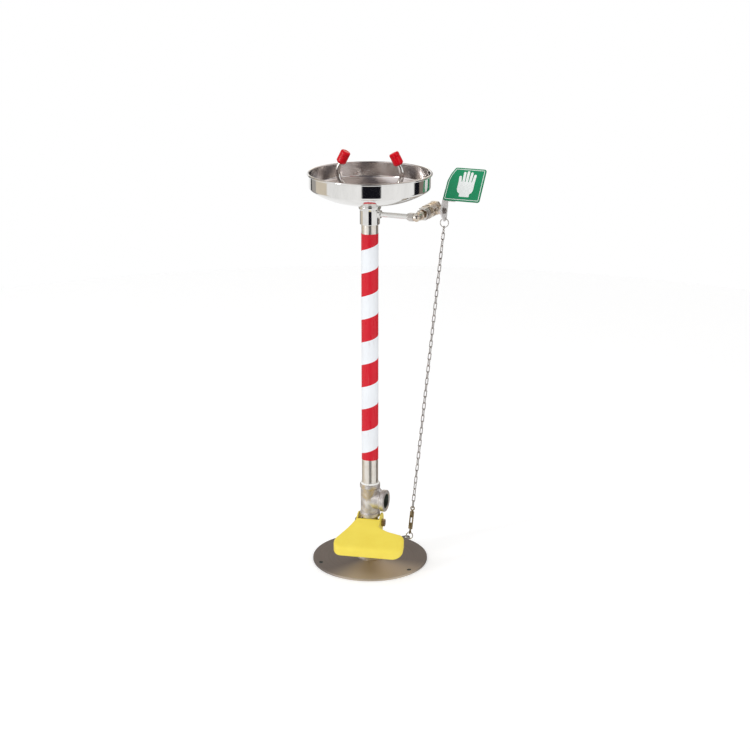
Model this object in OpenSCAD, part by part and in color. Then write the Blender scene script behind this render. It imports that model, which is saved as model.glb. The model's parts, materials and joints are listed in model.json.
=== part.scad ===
// Pedestal eyewash station: a bowl with two spray heads on a striped post, opened by a
// push sign or by a foot pedal that pulls a chain. Units are millimetres, +Z is up, and the
// origin is the centre of the base plate's underside. The user stands on the -Y side.

/* [Base and post] */
// Diameter of the floor plate
base_d = 298; // [290:1:320]
// Thickness of the floor plate
base_t = 6; // [5:0.5:10]
// Pitch circle of the three anchor holes
anchor_pcd = 268; // [260:1:270]
// Diameter of an anchor hole
anchor_d = 11; // [9:0.5:13]
// Outside diameter of the post pipe
post_d = 42.2; // [42:0.1:42.4]
// Wall of the post pipe
post_wall = 3.2; // [2.6:0.1:3.6]
// Height of the waste outlet's axis
tee_z = 165.5; // [164:0.5:168]
// Direction of the waste outlet about the post, degrees from +X
outlet_turn = -8; // [-30:1:30]
// Height where the striped film starts
sleeve_z0 = 278; // [260:1:300]
// Height where the striped film ends
sleeve_z1 = 869; // [800:1:880]
// Height of the collar's lower end
collar_z = 892; // [890:1:892]

/* [Bowl] */
// Outside radius of the bowl's wall
bowl_r = 149; // [145:1:155]
// Height of the bowl's rim
rim_z = 1020; // [1016:1:1026]
// Thickness of the bowl's sheet
bowl_t = 1.5; // [1.2:0.1:2]
// Radius of the bend between dish and wall
bowl_bend_r = 8; // [6:1:12]
// Slope of the dish where it meets the bend, degrees
dish_slope = 33.4; // [32:0.2:35]

/* [Spray heads] */
// Outside radius of a spray tube
tube_r = 6; // [6:0.1:6.2]
// Height of the spray tubes' axis at the hub
hub_z = 960; // [960:1:962]
// Outside radius of a spray head
head_r = 12.5; // [12.5:0.1:13]
// Height of a spray head with its cover closed
head_h = 33; // [32.5:0.5:35]

/* [Supply arm] */
// Direction of the supply arm about the post, degrees from +X
arm_turn = -11; // [-14:1:-8]
// Height of the supply arm's axis
arm_z = 918; // [918:0.5:918.5]
// Distance from the post's axis to the valve's axis
valve_x = 123; // [120:1:126]
// Distance from the supply arm's axis back to the valve's stem
valve_y = 100; // [98:1:104]

/* [Handle] */
// Turn of the handle from shut to fully open, degrees
handle_travel = 48; // [40:1:50]
// Width of the push sign
sign_w = 95; // [80:1:110]
// Height of the push sign along its face
sign_h = 91; // [80:1:100]
// Lean of the push sign from the vertical, degrees
sign_lean = 37; // [34:1:40]

/* [Chain and pedal] */
// Number of links in the chain, an odd number
link_n = 45; // [45:2:45]
// Wire diameter of a link
link_wire = 2.6; // [2.4:0.1:2.7]
// Outside length of a link
link_l = 21.4; // [21.4:0.1:21.6]
// Height of the pedal's hinge
hinge_z = 102; // [101:0.5:103]
// Slope of the pedal's tread, degrees
pedal_slope = 25; // [24:0.5:26]
// Depth of the pedal's turned-down edge
pedal_lip = 22; // [18:1:24]
// Thickness of the pedal's sheet
pedal_t = 2.5; // [2:0.5:3]

/* [Hidden] */
$fn = 64;

steel = "lightgray";
satin = "silver";
cast = "darkgray";
nickel = "tan";
fit = 0.05;          // radial clearance of threads, sockets and running fits
gap = 0.3;           // clearance between pieces that pass each other

post_r = post_d / 2;
post_in = post_r - post_wall;
tee_h = 91;
tee_z0 = tee_z - tee_h / 2;
tee_z1 = tee_z + tee_h / 2;
tee_socket = 16;
riser_z1 = tee_z0 + tee_socket;
outlet_x = 45;
outlet_r = 19.5;
outlet_l = 18;
post_z0 = tee_z1 - tee_socket;
post_z1 = collar_z + 16;
bowl_z = 945;        // underside of the bowl's flat centre
waste_r = 16.5;
flange_tail_r = 20;
flange_z = 926;       // lower end of the drain flange
gasket_t = 2;
strainer_z = bowl_z + bowl_t + 2.5;

// Dish of the bowl: a wide arc from the flat centre, then the bend into the wall.
dish_x = 32;
dish_r = bowl_bend_r + (bowl_r - bowl_bend_r - dish_x) / sin(dish_slope);
bend_z = bowl_z + dish_r - (dish_r - bowl_bend_r) * cos(dish_slope);
bead_r = 3;
bead_x = bowl_r + 1.6;

// Centre line of a spray tube in the XZ plane: out of the hub, up, and back inwards.
hub_r = 12.5;
tube_in = 4.6;
run_x0 = 9;
run_x1 = 24.5;
low_r = 40;
low_turn = 50;
rise_l = 23;
high_r = 41;
high_turn = 67;
lead = 3.8;
socket_l = 6.5;
head_dir = low_turn + high_turn;
p1 = [run_x1 + low_r * sin(low_turn), hub_z + low_r * (1 - cos(low_turn))];
p2 = p1 + rise_l * [cos(low_turn), sin(low_turn)];
c2 = p2 + high_r * [-sin(low_turn), cos(low_turn)];
p3 = c2 + high_r * [sin(head_dir), -cos(head_dir)];
head_at = p3 + lead * [cos(head_dir), sin(head_dir)];
body_h = 23;
cup_floor = 9;
cup_r = head_r - 1.5;
pin_y = head_r + 2.1;
pin_z = body_h + 0.6;
pin_r = 0.9;

// Supply arm, in the arm's own frame: x along the arm, y back to the water inlet.
pipe_r = 6.5;
pipe_in = 5;
pipe_x0 = 6;
pipe_x1 = valve_x - 4;
nut_x0 = valve_x - 19;
nut_x1 = valve_x - 6;
arm_bore = 6;
elbow_y = 30;
tail_y0 = 22;
tail_y1 = 46;
union_y0 = 38;
union_y1 = 58;
body_y0 = 46;
body_y1 = 118;
end_y1 = 131;
inlet_r = 9.3;
inlet_l = 15;
ball_r = 12;
ball_bore = 4.5;
chamber_r = 13;
seat_y = 14;
stem_r = 4;
lever_x = 28.5;      // lever plate's inner face, from the valve's axis
lever_t = 3;

// Handle, from the stem's centre: y back and z up, and the sign's own lower left corner.
ring_hole = [18, -22];
ring_hole_r = 3.2;
sign_base = [valve_x + lever_x + 1.5, valve_y, arm_z + 27];
sign_t = 2;
label_t = 0.25;
tab_w = 36;
tab_h = 26;
rivet_r = 2;
rivet_at = [[11, 13], [28, 13]];
lever_outline = [[-13, 25], [0, 30], [17, 50], [24, 48], [38, 22], [36, 8], [27, -29.5],
    [9, -29.5], [-12, -7]];
lever_radii = [4, 1, 3, 4, 8, 12, 8, 8, 8];
sign_outline = [[0, 0], [sign_w, 0], [sign_w, sign_h], [15, sign_h], [6, sign_h - 17],
    [0, sign_h - 38]];
sign_radii = [6, 6, 6, 7, 40, 40];

// Chain: from the ring hole of the handle to the hole of the pedal's arm.
pull_r = 10.8;
pull_wire = 1.2;
low_ring_r = 8.6;
low_ring_wire = 1.4;
eye_r = 4.6;
eye_wire = 1.6;
shank_r = 2.4;
link_r = link_wire / 2;
link_w = 9.5;
buckle_l = 46;
buckle_gap = 8;
anchor = [112.5, -47, 83];
top_arm = [valve_x + lever_x + 1.5, valve_y + ring_hole[0], arm_z + ring_hole[1]];
anchor_arm = [
    anchor[0] * cos(arm_turn) + anchor[1] * sin(arm_turn),
    -anchor[0] * sin(arm_turn) + anchor[1] * cos(arm_turn),
    anchor[2]
];
chain_v = top_arm - anchor_arm;
chain_len = norm(chain_v);
chain_tilt = -asin(chain_v[1] / chain_len);
chain_swing = atan2(chain_v[0], chain_v[2]);
ring_rest = ring_hole_r - pull_wire - 0.4;
ring_s = ring_rest + pull_r;
first_s = ring_s + pull_r - pull_wire - link_r - 0.1;
lower_eye_s = chain_len - 2 * low_ring_r + low_ring_wire + eye_wire + 0.1 - eye_r;
buckle_s1 = lower_eye_s - buckle_gap;
buckle_s0 = buckle_s1 - buckle_l;
upper_eye_s = buckle_s0 - buckle_gap;
last_s = upper_eye_s - eye_r + link_r + eye_wire + 0.1 - (link_l - link_wire);
link_pitch = (last_s - first_s) / (link_n - 1);

// Pedal: its outline in plan, and the plate that carries the chain's lower ring.
tread_z = 124.6;     // height of the tread's plane over the hinge
ear_x = 28.5;
ear_t = 3;
ear_r = 26;
pedal_outline = [[-31.5, 2], [-31.5, -20], [-96, -113], [105, -113], [103, -59], [60, -50],
    [31.5, -40], [31.5, 2]];
pedal_radii = [0, 20, 22, 26, 18, 60, 8, 0];
neck_y0 = -66;       // where the neck leaves the tread's plane
neck_y1 = -24;       // back edge of the neck
neck_z1 = 119.5;
arm_t = 3;
arm_w = 18;
arm_hole_r = 6;
arm_hole = [anchor[0] - 7, anchor[1]];
arm_z0 = anchor[2] + low_ring_wire + 1;
arm_dir = 221;       // direction of the arm from its hole, under the tread
arm_l = 50;
bolt_r = 5;
bush_r = 8;
spacer_r = 9;
washer_t = 2;
washer_x = ear_x + ear_t + gap;
nut_t = 5;
bolt_end = washer_x + washer_t + nut_t + 0.8;

// ---- Outlines ----

function arc(c, r, a0, a1, n) = [
    for (i = [0:n]) let (a = a0 + (a1 - a0) * i / n) c + r * [cos(a), sin(a)]
];
function unit(v) = v / norm(v);
function reversed(v) = [for (i = [len(v) - 1:-1:0]) v[i]];

// Points of a polygon whose corners are rounded, each with its own radius.
function corner(a, b, c, r, n) =
    r <= 0 ? [b] :
    let (
        u = unit(a - b), v = unit(c - b), half = acos(u * v) / 2,
        t = r / tan(half), m = b + unit(u + v) * r / sin(half),
        s = b + u * t - m, e = b + v * t - m,
        a0 = atan2(s[1], s[0]), d = atan2(s[0] * e[1] - s[1] * e[0], s * e)
    )
    arc(m, r, a0, a0 + d, n);
function rounded(p, radii, n = 6) = [
    for (i = [0:len(p) - 1])
    each corner(p[(i + len(p) - 1) % len(p)], p[i], p[(i + 1) % len(p)], radii[i], n)
];

// Points of a counter-clockwise polygon moved inwards by t.
function inward(e) = [-e[1], e[0]];
function inset(p, t) = [
    for (i = [0:len(p) - 1])
    let (
        e0 = unit(p[i] - p[(i + len(p) - 1) % len(p)]),
        e1 = unit(p[(i + 1) % len(p)] - p[i]),
        m = unit(inward(e0) + inward(e1))
    )
    p[i] + m * t / (m * inward(e0))
];

// ---- Shared shapes ----

module pipe(r, r_in, h) {
    difference() {
        cylinder(r = r, h = h);
        translate([0, 0, -1]) cylinder(r = r_in, h = h + 2);
    }
}

module hex(across, h) {
    cylinder(r = across / 2 / cos(30), h = h, $fn = 6);
}

module torus(r, wire) {
    rotate_extrude() translate([r, 0]) circle(r = wire, $fn = 32);
}

module along_x(x, z = 0) {
    translate([x, 0, z]) rotate([0, 90, 0]) children();
}

module in_arm() {
    rotate([0, 0, arm_turn]) children();
}

// Along the arm, from x
module arm_x(x) {
    in_arm() translate([x, 0, arm_z]) rotate([0, 90, 0]) children();
}

// Along the valve, from y back to the inlet
module arm_y(y) {
    in_arm() translate([valve_x, y, arm_z]) rotate([-90, 0, 0]) children();
}

// Along the stem, from x out to the handle
module on_stem(x) {
    in_arm() translate([valve_x + x, valve_y, arm_z]) rotate([0, 90, 0]) children();
}

module in_sign() {
    in_arm() translate(sign_base) rotate([90 - sign_lean, 0, 0]) children();
}

// Down the chain: z = -s is a distance s below the handle's ring hole
module in_chain(s = 0) {
    in_arm() translate(top_arm) rotate([chain_tilt, chain_swing, 0]) translate([0, 0, -s]) children();
}

// Right head's frame: z along the head, y to the back
module at_head() {
    translate([head_at[0], 0, head_at[1]]) rotate([0, 90 - head_dir, 0]) children();
}

module both_sides() {
    children();
    mirror([1, 0, 0]) children();
}

// ---- Stand ----

module base_plate() {
    color(cast)
    difference() {
        rotate_extrude()
            polygon([[0, 0], [base_d / 2, 0], [base_d / 2, base_t - 1.2],
                [base_d / 2 - 1.2, base_t], [0, base_t]]);
        for (a = [90, 210, 330])
            rotate([0, 0, a]) translate([anchor_pcd / 2, 0, -1]) cylinder(d = anchor_d, h = base_t + 2);
    }
}

module floor_socket() {
    color(cast)
    rotate_extrude()
        polygon([[post_r + fit, base_t], [36, base_t], [36, base_t + 4], [29, base_t + 11],
            [27, base_t + 32], [26, base_t + 33], [post_r + fit, base_t + 33]]);
}

module riser_nipple() {
    color(satin)
    difference() {
        translate([0, 0, base_t]) pipe(post_r, post_in, riser_z1 - base_t);
        along_x(-50, hinge_z) cylinder(r = bolt_r + fit, h = 100);
    }
}

module riser_plug() {
    color(satin) translate([0, 0, riser_z1 - 6]) cylinder(r = post_in - fit, h = 5);
}

module drain_tee() {
    r_body = 24;
    r_band = 26.2;
    bead = 13;
    color(cast)
    difference() {
        union() {
            rotate_extrude()
                polygon([[0, tee_z0], [r_band - 1, tee_z0], [r_band, tee_z0 + 1],
                    [r_band, tee_z0 + bead - 2], [r_body, tee_z0 + bead], [r_body, tee_z1 - bead],
                    [r_band, tee_z1 - bead + 2], [r_band, tee_z1 - 1], [r_band - 1, tee_z1],
                    [0, tee_z1]]);
            rotate([0, 0, outlet_turn]) along_x(0, tee_z)
                rotate_extrude()
                polygon([[0, 0], [r_body, 0], [r_body, outlet_x - bead - 1],
                    [28.5, outlet_x - bead + 2], [28.5, outlet_x - 1], [27.5, outlet_x], [0, outlet_x]]);
            rotate([0, 0, outlet_turn]) translate([0, 3, 0]) rotate([90, 0, 0])
                linear_extrude(6)
                polygon([[20, tee_z + 20], [outlet_x - bead + 1, tee_z + 20],
                    [outlet_x - bead + 1, tee_z + 27], [r_band - 0.4, tee_z1 - bead + 2],
                    [20, tee_z1 - bead + 2]]);
        }
        translate([0, 0, tee_z0 - 1]) cylinder(r = post_r + fit, h = tee_socket + 1);
        translate([0, 0, tee_z0]) cylinder(r = post_in, h = tee_h);
        translate([0, 0, post_z0]) cylinder(r = post_r + fit, h = tee_socket + 1);
        rotate([0, 0, outlet_turn]) along_x(0, tee_z) cylinder(r = post_in, h = outlet_x);
        rotate([0, 0, outlet_turn]) along_x(outlet_x - outlet_l, tee_z)
            cylinder(r = outlet_r, h = outlet_l + 1);
    }
}

module sealant_ring() {
    color("white")
    rotate_extrude()
        polygon([[post_r + fit, tee_z1], [post_r + 3.4, tee_z1], [post_r + 3, tee_z1 + 1.4],
            [post_r + 1, tee_z1 + 2.6], [post_r + fit, tee_z1 + 2.8]]);
}

module post_pipe() {
    color(satin) translate([0, 0, post_z0]) pipe(post_r, post_in, post_z1 - post_z0);
}

module striped_sleeve() {
    color("red")
    translate([0, 0, sleeve_z0]) pipe(post_r + 0.4, post_r + fit, sleeve_z1 - sleeve_z0);
}

// ---- Bowl ----

module bowl_collar() {
    color(steel)
    difference() {
        union() {
            rotate_extrude()
                polygon([[0, collar_z], [24, collar_z], [25, collar_z + 1], [25, 929],
                    [28.5, 933.5], [28.5, 938.5], [26.5, 941.5], [24, bowl_z - gasket_t],
                    [0, bowl_z - gasket_t]]);
            arm_x(0) rotate_extrude()
                polygon([[0, 0], [10.5, 0], [10.5, 29], [9.5, 30], [0, 30]]);
        }
        translate([0, 0, collar_z - 1]) cylinder(r = post_r + fit, h = post_z1 - collar_z + 1);
        translate([0, 0, collar_z]) cylinder(r = waste_r, h = 60);
        translate([0, 0, flange_z]) cylinder(r = flange_tail_r, h = 30);
        arm_x(0) cylinder(r = pipe_r + fit, h = 40);
    }
}

module bowl_gasket() {
    color("black") translate([0, 0, bowl_z - gasket_t]) pipe(24, flange_tail_r + 0.2, gasket_t);
}

module bowl() {
    color(steel)
    union() {
        rotate_extrude(convexity = 6)
            polygon(concat(
                [[flange_tail_r + 0.2, bowl_z]],
                arc([dish_x, bowl_z + dish_r], dish_r, -90, dish_slope - 90, 16),
                arc([bowl_r - bowl_bend_r, bend_z], bowl_bend_r, dish_slope - 90, 0, 5),
                [[bowl_r, rim_z - bead_r], [bowl_r - bowl_t, rim_z - bead_r]],
                arc([bowl_r - bowl_bend_r, bend_z], bowl_bend_r - bowl_t, 0, dish_slope - 90, 5),
                arc([dish_x, bowl_z + dish_r], dish_r - bowl_t, dish_slope - 90, -90, 16),
                [[flange_tail_r + 0.2, bowl_z + bowl_t]]
            ));
        translate([0, 0, rim_z - bead_r]) torus(bead_x, bead_r);
    }
}

module drain_flange() {
    color(steel)
    rotate_extrude()
        polygon([[waste_r, flange_z], [flange_tail_r - fit, flange_z],
            [flange_tail_r - fit, bowl_z + bowl_t], [30, bowl_z + bowl_t], [29, strainer_z],
            [waste_r, strainer_z]]);
}

module drain_strainer() {
    color(steel)
    difference() {
        translate([0, 0, strainer_z]) pipe(26, 9 + fit, 1.5);
        for (ring = [[13, 8], [18, 12]], i = [0:ring[1] - 1])
            rotate([0, 0, 360 * i / ring[1]]) translate([ring[0], 0, strainer_z - 1])
                cylinder(r = 1.8, h = 4, $fn = 24);
    }
}

module supply_riser() {
    color(steel)
    difference() {
        union() {
            translate([0, 0, arm_z - 9]) cylinder(r = 9, h = hub_z - 4 - (arm_z - 9));
            arm_x(0) cylinder(r = 9, h = 14);
        }
        translate([0, 0, arm_z - 5]) cylinder(r = arm_bore, h = 100);
        arm_x(0) cylinder(r = pipe_in, h = 20);
        arm_x(pipe_x0) cylinder(r = pipe_r + fit, h = 20);
    }
}

module spray_hub() {
    z0 = strainer_z + 1.5;
    color(steel)
    difference() {
        union() {
            translate([0, 0, z0]) cylinder(r = hub_r, h = hub_z + 8.5 - z0);
            translate([0, 0, hub_z + 8.5]) cylinder(r1 = hub_r, r2 = hub_r - 3, h = 3);
            along_x(-hub_r - 1.5, hub_z) cylinder(r = 8.2, h = 2 * hub_r + 3);
        }
        translate([0, 0, z0 - 1]) cylinder(r = 9 + fit, h = hub_z - 4 - z0 + 1);
        translate([0, 0, z0]) cylinder(r = arm_bore, h = hub_z - z0);
        along_x(-30, hub_z) cylinder(r = tube_in, h = 60);
        along_x(run_x0, hub_z) cylinder(r = tube_r + fit, h = 30);
        along_x(-run_x0 - 30, hub_z) cylinder(r = tube_r + fit, h = 30);
    }
}

module tube_nuts() {
    color(steel)
    both_sides() along_x(hub_r + 1.5, hub_z)
        difference() {
            rotate([0, 0, 30]) hex(17, 8);
            translate([0, 0, -1]) cylinder(r = tube_r + fit, h = 10);
        }
}

// ---- Spray tubes and heads ----

module bend(c, r, a0, turn, tube) {
    translate([c[0], 0, c[1]]) rotate([90, 0, 0]) rotate([0, 0, a0])
        rotate_extrude(angle = turn) translate([r, 0]) circle(r = tube);
}

// Straight runs and bends; a bend draws the tube slightly thinner
module tube_run(r) {
    bent = r - 0.03;
    lap = 0.8;
    along_x(run_x0, hub_z) cylinder(r = r, h = run_x1 - run_x0 + lap);
    bend([run_x1, hub_z + low_r], low_r, -90, low_turn, bent);
    translate([p1[0], 0, p1[1]]) rotate([0, 90 - low_turn, 0]) translate([0, 0, -lap])
        cylinder(r = r, h = rise_l + 2 * lap);
    bend(c2, high_r, low_turn - 90, high_turn, bent);
    translate([p3[0], 0, p3[1]]) rotate([0, 90 - head_dir, 0]) translate([0, 0, -lap])
        cylinder(r = r, h = lap + lead + socket_l);
}

module spray_tube() {
    color(steel)
    difference() {
        tube_run(tube_r);
        tube_run(tube_in);
    }
}

module spray_tube_right() { spray_tube(); }
module spray_tube_left() { mirror([1, 0, 0]) spray_tube(); }

// Ear or knuckle of the cover's hinge, from x0 to x1
module knuckle(x0, x1) {
    translate([x0, pin_y, pin_z]) rotate([0, 90, 0]) cylinder(r = 2, h = x1 - x0);
}

module spray_body() {
    color("red")
    at_head()
    difference() {
        union() {
            rotate_extrude()
                polygon([[0, 0], [8.5, 0], [head_r, 3.5], [head_r, body_h], [cup_r, body_h],
                    [cup_r, cup_floor], [0, cup_floor]]);
            for (x = [-4.3, 2.3]) {
                knuckle(x, x + 2);
                translate([x, 0, 0]) rotate([90, 0, 90]) linear_extrude(2)
                    polygon([[cup_r + 0.5, 14], [head_r, 14], [pin_y + 2, pin_z - 3],
                        [pin_y + 2, pin_z], [pin_y - 2, pin_z], [pin_y - 2, body_h],
                        [cup_r + 0.5, body_h]]);
            }
        }
        translate([0, 0, -1]) cylinder(r = tube_r + fit, h = socket_l + 1);
        cylinder(r = tube_in, h = 20);
        translate([-10, pin_y, pin_z]) rotate([0, 90, 0]) cylinder(r = pin_r, h = 20, $fn = 32);
    }
}

module spray_body_right() { spray_body(); }
module spray_body_left() { mirror([1, 0, 0]) spray_body(); }

module flow_regulators() {
    color("dimgray") both_sides() at_head() translate([0, 0, cup_floor]) pipe(cup_r - fit, 3, 6);
}

module screen_packs() {
    color("gray")
    both_sides() at_head() translate([0, 0, cup_floor + 6]) cylinder(r = cup_r - fit, h = 4.5);
}

module spray_discs() {
    color("white")
    both_sides() at_head()
        difference() {
            translate([0, 0, cup_floor + 10.5]) cylinder(r = cup_r - fit, h = 2);
            for (ring = [[0, 1], [4, 6], [8, 12]], i = [0:ring[1] - 1])
                rotate([0, 0, 360 * i / ring[1]]) translate([ring[0], 0, cup_floor])
                    cylinder(r = 0.8, h = 20, $fn = 16);
        }
}

module dust_cover() {
    z0 = body_h + gap;
    color("red")
    at_head()
    difference() {
        union() {
            rotate_extrude()
                polygon([[cup_r, z0], [head_r, z0], [head_r, head_h - 3], [head_r - 0.8, head_h - 1.2],
                    [head_r - 2.6, head_h], [0, head_h], [0, head_h - 2], [cup_r, head_h - 2.6]]);
            knuckle(-2, 2);
            translate([-2, 0, 0]) rotate([90, 0, 90]) linear_extrude(4)
                polygon([[cup_r + 0.3, pin_z], [pin_y + 2, pin_z], [pin_y + 1.4, pin_z + 1.6],
                    [head_r - 0.4, pin_z + 5.4], [cup_r + 0.3, pin_z + 5.4]]);
        }
        translate([-10, pin_y, pin_z]) rotate([0, 90, 0]) cylinder(r = pin_r + fit, h = 20, $fn = 32);
    }
}

module dust_cover_right() { dust_cover(); }
module dust_cover_left() { mirror([1, 0, 0]) dust_cover(); }

module cover_pins() {
    color(steel)
    both_sides() at_head() translate([-4.3, pin_y, pin_z]) rotate([0, 90, 0])
        cylinder(r = pin_r, h = 8.6, $fn = 32);
}

// ---- Supply arm and valve ----

module supply_pipe() {
    color(steel) arm_x(pipe_x0) pipe(pipe_r, pipe_in, pipe_x1 - pipe_x0);
}

module pipe_nut() {
    color(nickel)
    arm_x(nut_x0)
    difference() {
        union() {
            hex(19, nut_x1 - nut_x0);
            translate([0, 0, -4]) cylinder(r = 8.6, h = 5);
        }
        translate([0, 0, -5]) cylinder(r = pipe_r + fit, h = 30);
    }
}

module elbow() {
    color(nickel)
    difference() {
        union() {
            arm_x(nut_x1) cylinder(r = 9.5, h = valve_x - nut_x1);
            arm_x(valve_x) sphere(r = 10.5);
            arm_y(0) cylinder(r = 9.5, h = elbow_y);
            arm_y(elbow_y - 12) rotate_extrude()
                polygon([[0, 0], [9.5, 0], [11.5, 2], [11.5, 11], [10.5, 12], [0, 12]]);
        }
        arm_x(nut_x0) cylinder(r = 12, h = nut_x1 - nut_x0);
        arm_x(nut_x1 - 1) cylinder(r = pipe_r + fit, h = pipe_x1 - nut_x1 + 1);
        arm_x(nut_x1) cylinder(r = pipe_in, h = valve_x - nut_x1);
        arm_y(0) cylinder(r = arm_bore, h = elbow_y + 1);
        arm_y(tail_y0) cylinder(r = 8 + fit, h = elbow_y);
    }
}

module union_tail() {
    color(nickel)
    difference() {
        union() {
            arm_y(tail_y0) cylinder(r = 8, h = tail_y1 - tail_y0);
            arm_y(tail_y1 - 5) cylinder(r = 12.4, h = 5);
        }
        arm_y(tail_y0 - 1) cylinder(r = arm_bore, h = 40);
    }
}

module union_nut() {
    color(nickel)
    difference() {
        arm_y(union_y0) hex(29, union_y1 - union_y0);
        arm_y(union_y0 - 1) cylinder(r = 8 + fit, h = 40);
        arm_y(tail_y1 - 5) cylinder(r = 12.5 + fit, h = 40);
    }
}

module valve_body() {
    color(nickel)
    difference() {
        union() {
            arm_y(body_y0) cylinder(r = 12.5, h = 20);
            arm_y(union_y1 + 3) hex(31, 11);
            arm_y(union_y1 + 12) rotate_extrude()
                polygon([[0, 0], [14.5, 0], [17.5, 4], [17.5, body_y1 - union_y1 - 12],
                    [0, body_y1 - union_y1 - 12]]);
            on_stem(0) cylinder(r = 9.5, h = 22);
        }
        arm_y(body_y0 - 1) cylinder(r = arm_bore, h = 60);
        arm_y(valve_y - seat_y) cylinder(r = chamber_r, h = 60);
        on_stem(0) cylinder(r = stem_r + fit, h = 30);
        on_stem(17) cylinder(r = 6.5, h = 10);
    }
}

module valve_end() {
    plug_y = valve_y + seat_y;
    color(nickel)
    difference() {
        union() {
            arm_y(plug_y) cylinder(r = chamber_r - fit, h = 6);
            arm_y(body_y1) hex(32, end_y1 - body_y1);
        }
        arm_y(plug_y - 1) cylinder(r = arm_bore, h = 30);
        arm_y(end_y1 - inlet_l) cylinder(r = inlet_r, h = inlet_l + 1);
    }
}

// Drilled ball, its bore turned off the flow by the handle's travel
module ball() {
    color(steel)
    difference() {
        on_stem(0) sphere(r = ball_r);
        in_arm() translate([valve_x, valve_y, arm_z]) rotate([handle_travel, 0, 0]) rotate([90, 0, 0])
            cylinder(r = ball_bore, h = 60, center = true);
        on_stem(8) translate([-3.6, -1.6, 0]) cube([7.2, 3.2, 10]);
    }
}

module ball_seats() {
    color("white")
    difference() {
        union() {
            arm_y(valve_y - seat_y) cylinder(r = chamber_r - fit, h = 7);
            arm_y(valve_y + seat_y - 7) cylinder(r = chamber_r - fit, h = 7);
        }
        on_stem(0) sphere(r = ball_r + fit);
        arm_y(0) cylinder(r = arm_bore, h = 200);
    }
}

module stem() {
    color(steel)
    union() {
        on_stem(8.1) translate([-3.5, -1.5, 0]) cube([7, 3, 5]);
        on_stem(ball_r + 0.2) cylinder(r = stem_r, h = 40 - ball_r - 0.2);
        on_stem(lever_x - 0.7) cylinder(r = 6, h = 0.7);
    }
}

module stem_packing() {
    color("white") on_stem(17) pipe(6.45, stem_r + fit, 4.5);
}

module gland_nut() {
    color(nickel)
    difference() {
        union() {
            on_stem(21.5) cylinder(r = 6.45, h = 1);
            on_stem(22) hex(17, 5.4);
        }
        on_stem(20) cylinder(r = stem_r + fit, h = 10);
    }
}

// ---- Handle ----

module rivet_holes() {
    for (p = rivet_at) translate([p[0], p[1], -20]) cylinder(r = rivet_r, h = 30, $fn = 32);
}

module lever_plate() {
    color(satin)
    difference() {
        union() {
            in_arm() translate([valve_x + lever_x, valve_y, arm_z]) rotate([90, 0, 90])
                linear_extrude(lever_t) polygon(rounded(lever_outline, lever_radii));
            in_sign() translate([-1.5, -1, -sign_t - lever_t])
                linear_extrude(lever_t)
                polygon(rounded([[0, 0], [tab_w, 0], [tab_w, tab_h], [0, tab_h]], [0, 5, 5, 0]));
        }
        in_sign() translate([-10, -1.5, -sign_t]) cube([sign_w, sign_h, 60]);
        on_stem(lever_x - 1) cylinder(r = stem_r, h = 10);
        on_stem(lever_x - 1) translate([-ring_hole[1], ring_hole[0], 0])
            cylinder(r = ring_hole_r, h = 10);
        in_sign() rivet_holes();
    }
}

module lever_washer() {
    color(steel) on_stem(lever_x + lever_t) pipe(8, stem_r, 1.4);
}

module stem_nut() {
    color(steel)
    difference() {
        on_stem(lever_x + lever_t + 1.4) hex(13, 5.6);
        on_stem(lever_x) cylinder(r = stem_r, h = 20);
    }
}

module sign_plate() {
    color("green")
    in_sign()
    difference() {
        translate([0, 0, -sign_t]) linear_extrude(sign_t) polygon(rounded(sign_outline, sign_radii));
        rivet_holes();
    }
}

module sign_label() {
    color("seagreen")
    in_sign() linear_extrude(label_t) polygon(inset(rounded(sign_outline, sign_radii), 0.6));
}

module sign_rivets() {
    color(steel)
    in_sign() for (p = rivet_at) translate([p[0], p[1], 0]) {
        translate([0, 0, -sign_t - lever_t - 1.6])
            cylinder(r = rivet_r, h = sign_t + lever_t + 1.6, $fn = 32);
        translate([0, 0, -sign_t - lever_t - 1.6]) cylinder(r1 = 2.6, r2 = 3.8, h = 1.6, $fn = 32);
    }
}

// ---- Pull chain ----

module pull_ring() {
    color(steel) in_chain(ring_s) rotate([90, 0, 0]) torus(pull_r, pull_wire);
}

// One link in the XZ plane, its top wire's centre at z = 0
module link() {
    half = link_w / 2 - link_r;
    span = link_l - link_wire - 2 * half;
    for (end = [0, 1])
        translate([0, 0, -half - end * span]) rotate([90, 0, 0]) rotate([0, 0, 180 * end])
            rotate_extrude(angle = 180) translate([half, 0]) circle(r = link_r, $fn = 24);
    for (x = [-half, half])
        translate([x, 0, -half - span]) cylinder(r = link_r, h = span, $fn = 24);
}

module chain() {
    color(steel)
    for (i = [0:link_n - 1])
        in_chain(first_s + i * link_pitch) rotate([0, 0, i % 2 == 0 ? 90 : 0]) link();
}

// Eye and shank, the eye centred at the origin and the shank upwards
module eye(shank) {
    rotate([90, 0, 0]) torus(eye_r, eye_wire);
    translate([0, 0, eye_r]) cylinder(r = shank_r, h = shank - eye_r);
}

module turnbuckle_upper_eye() {
    color(nickel) in_chain(upper_eye_s) mirror([0, 0, 1]) eye(buckle_gap + 16);
}

module turnbuckle_lower_eye() {
    color(nickel) in_chain(lower_eye_s) rotate([0, 0, 90]) eye(buckle_gap + 16);
}

module turnbuckle_body() {
    boss = 10;
    color(nickel)
    in_chain(buckle_s1)
    difference() {
        union() {
            for (z = [0, buckle_l - boss])
                translate([0, 0, z]) cylinder(r = 5, h = boss);
            for (x = [-4.9, 4.9])
                translate([x, 0, 0]) cylinder(r = 1.9, h = buckle_l);
        }
        translate([0, 0, -1]) cylinder(r = shank_r + fit, h = buckle_l + 2);
    }
}

module lower_ring() {
    color(steel) in_chain(chain_len - low_ring_r) rotate([90, 0, 0]) torus(low_ring_r, low_ring_wire);
}

// ---- Foot pedal ----

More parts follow.
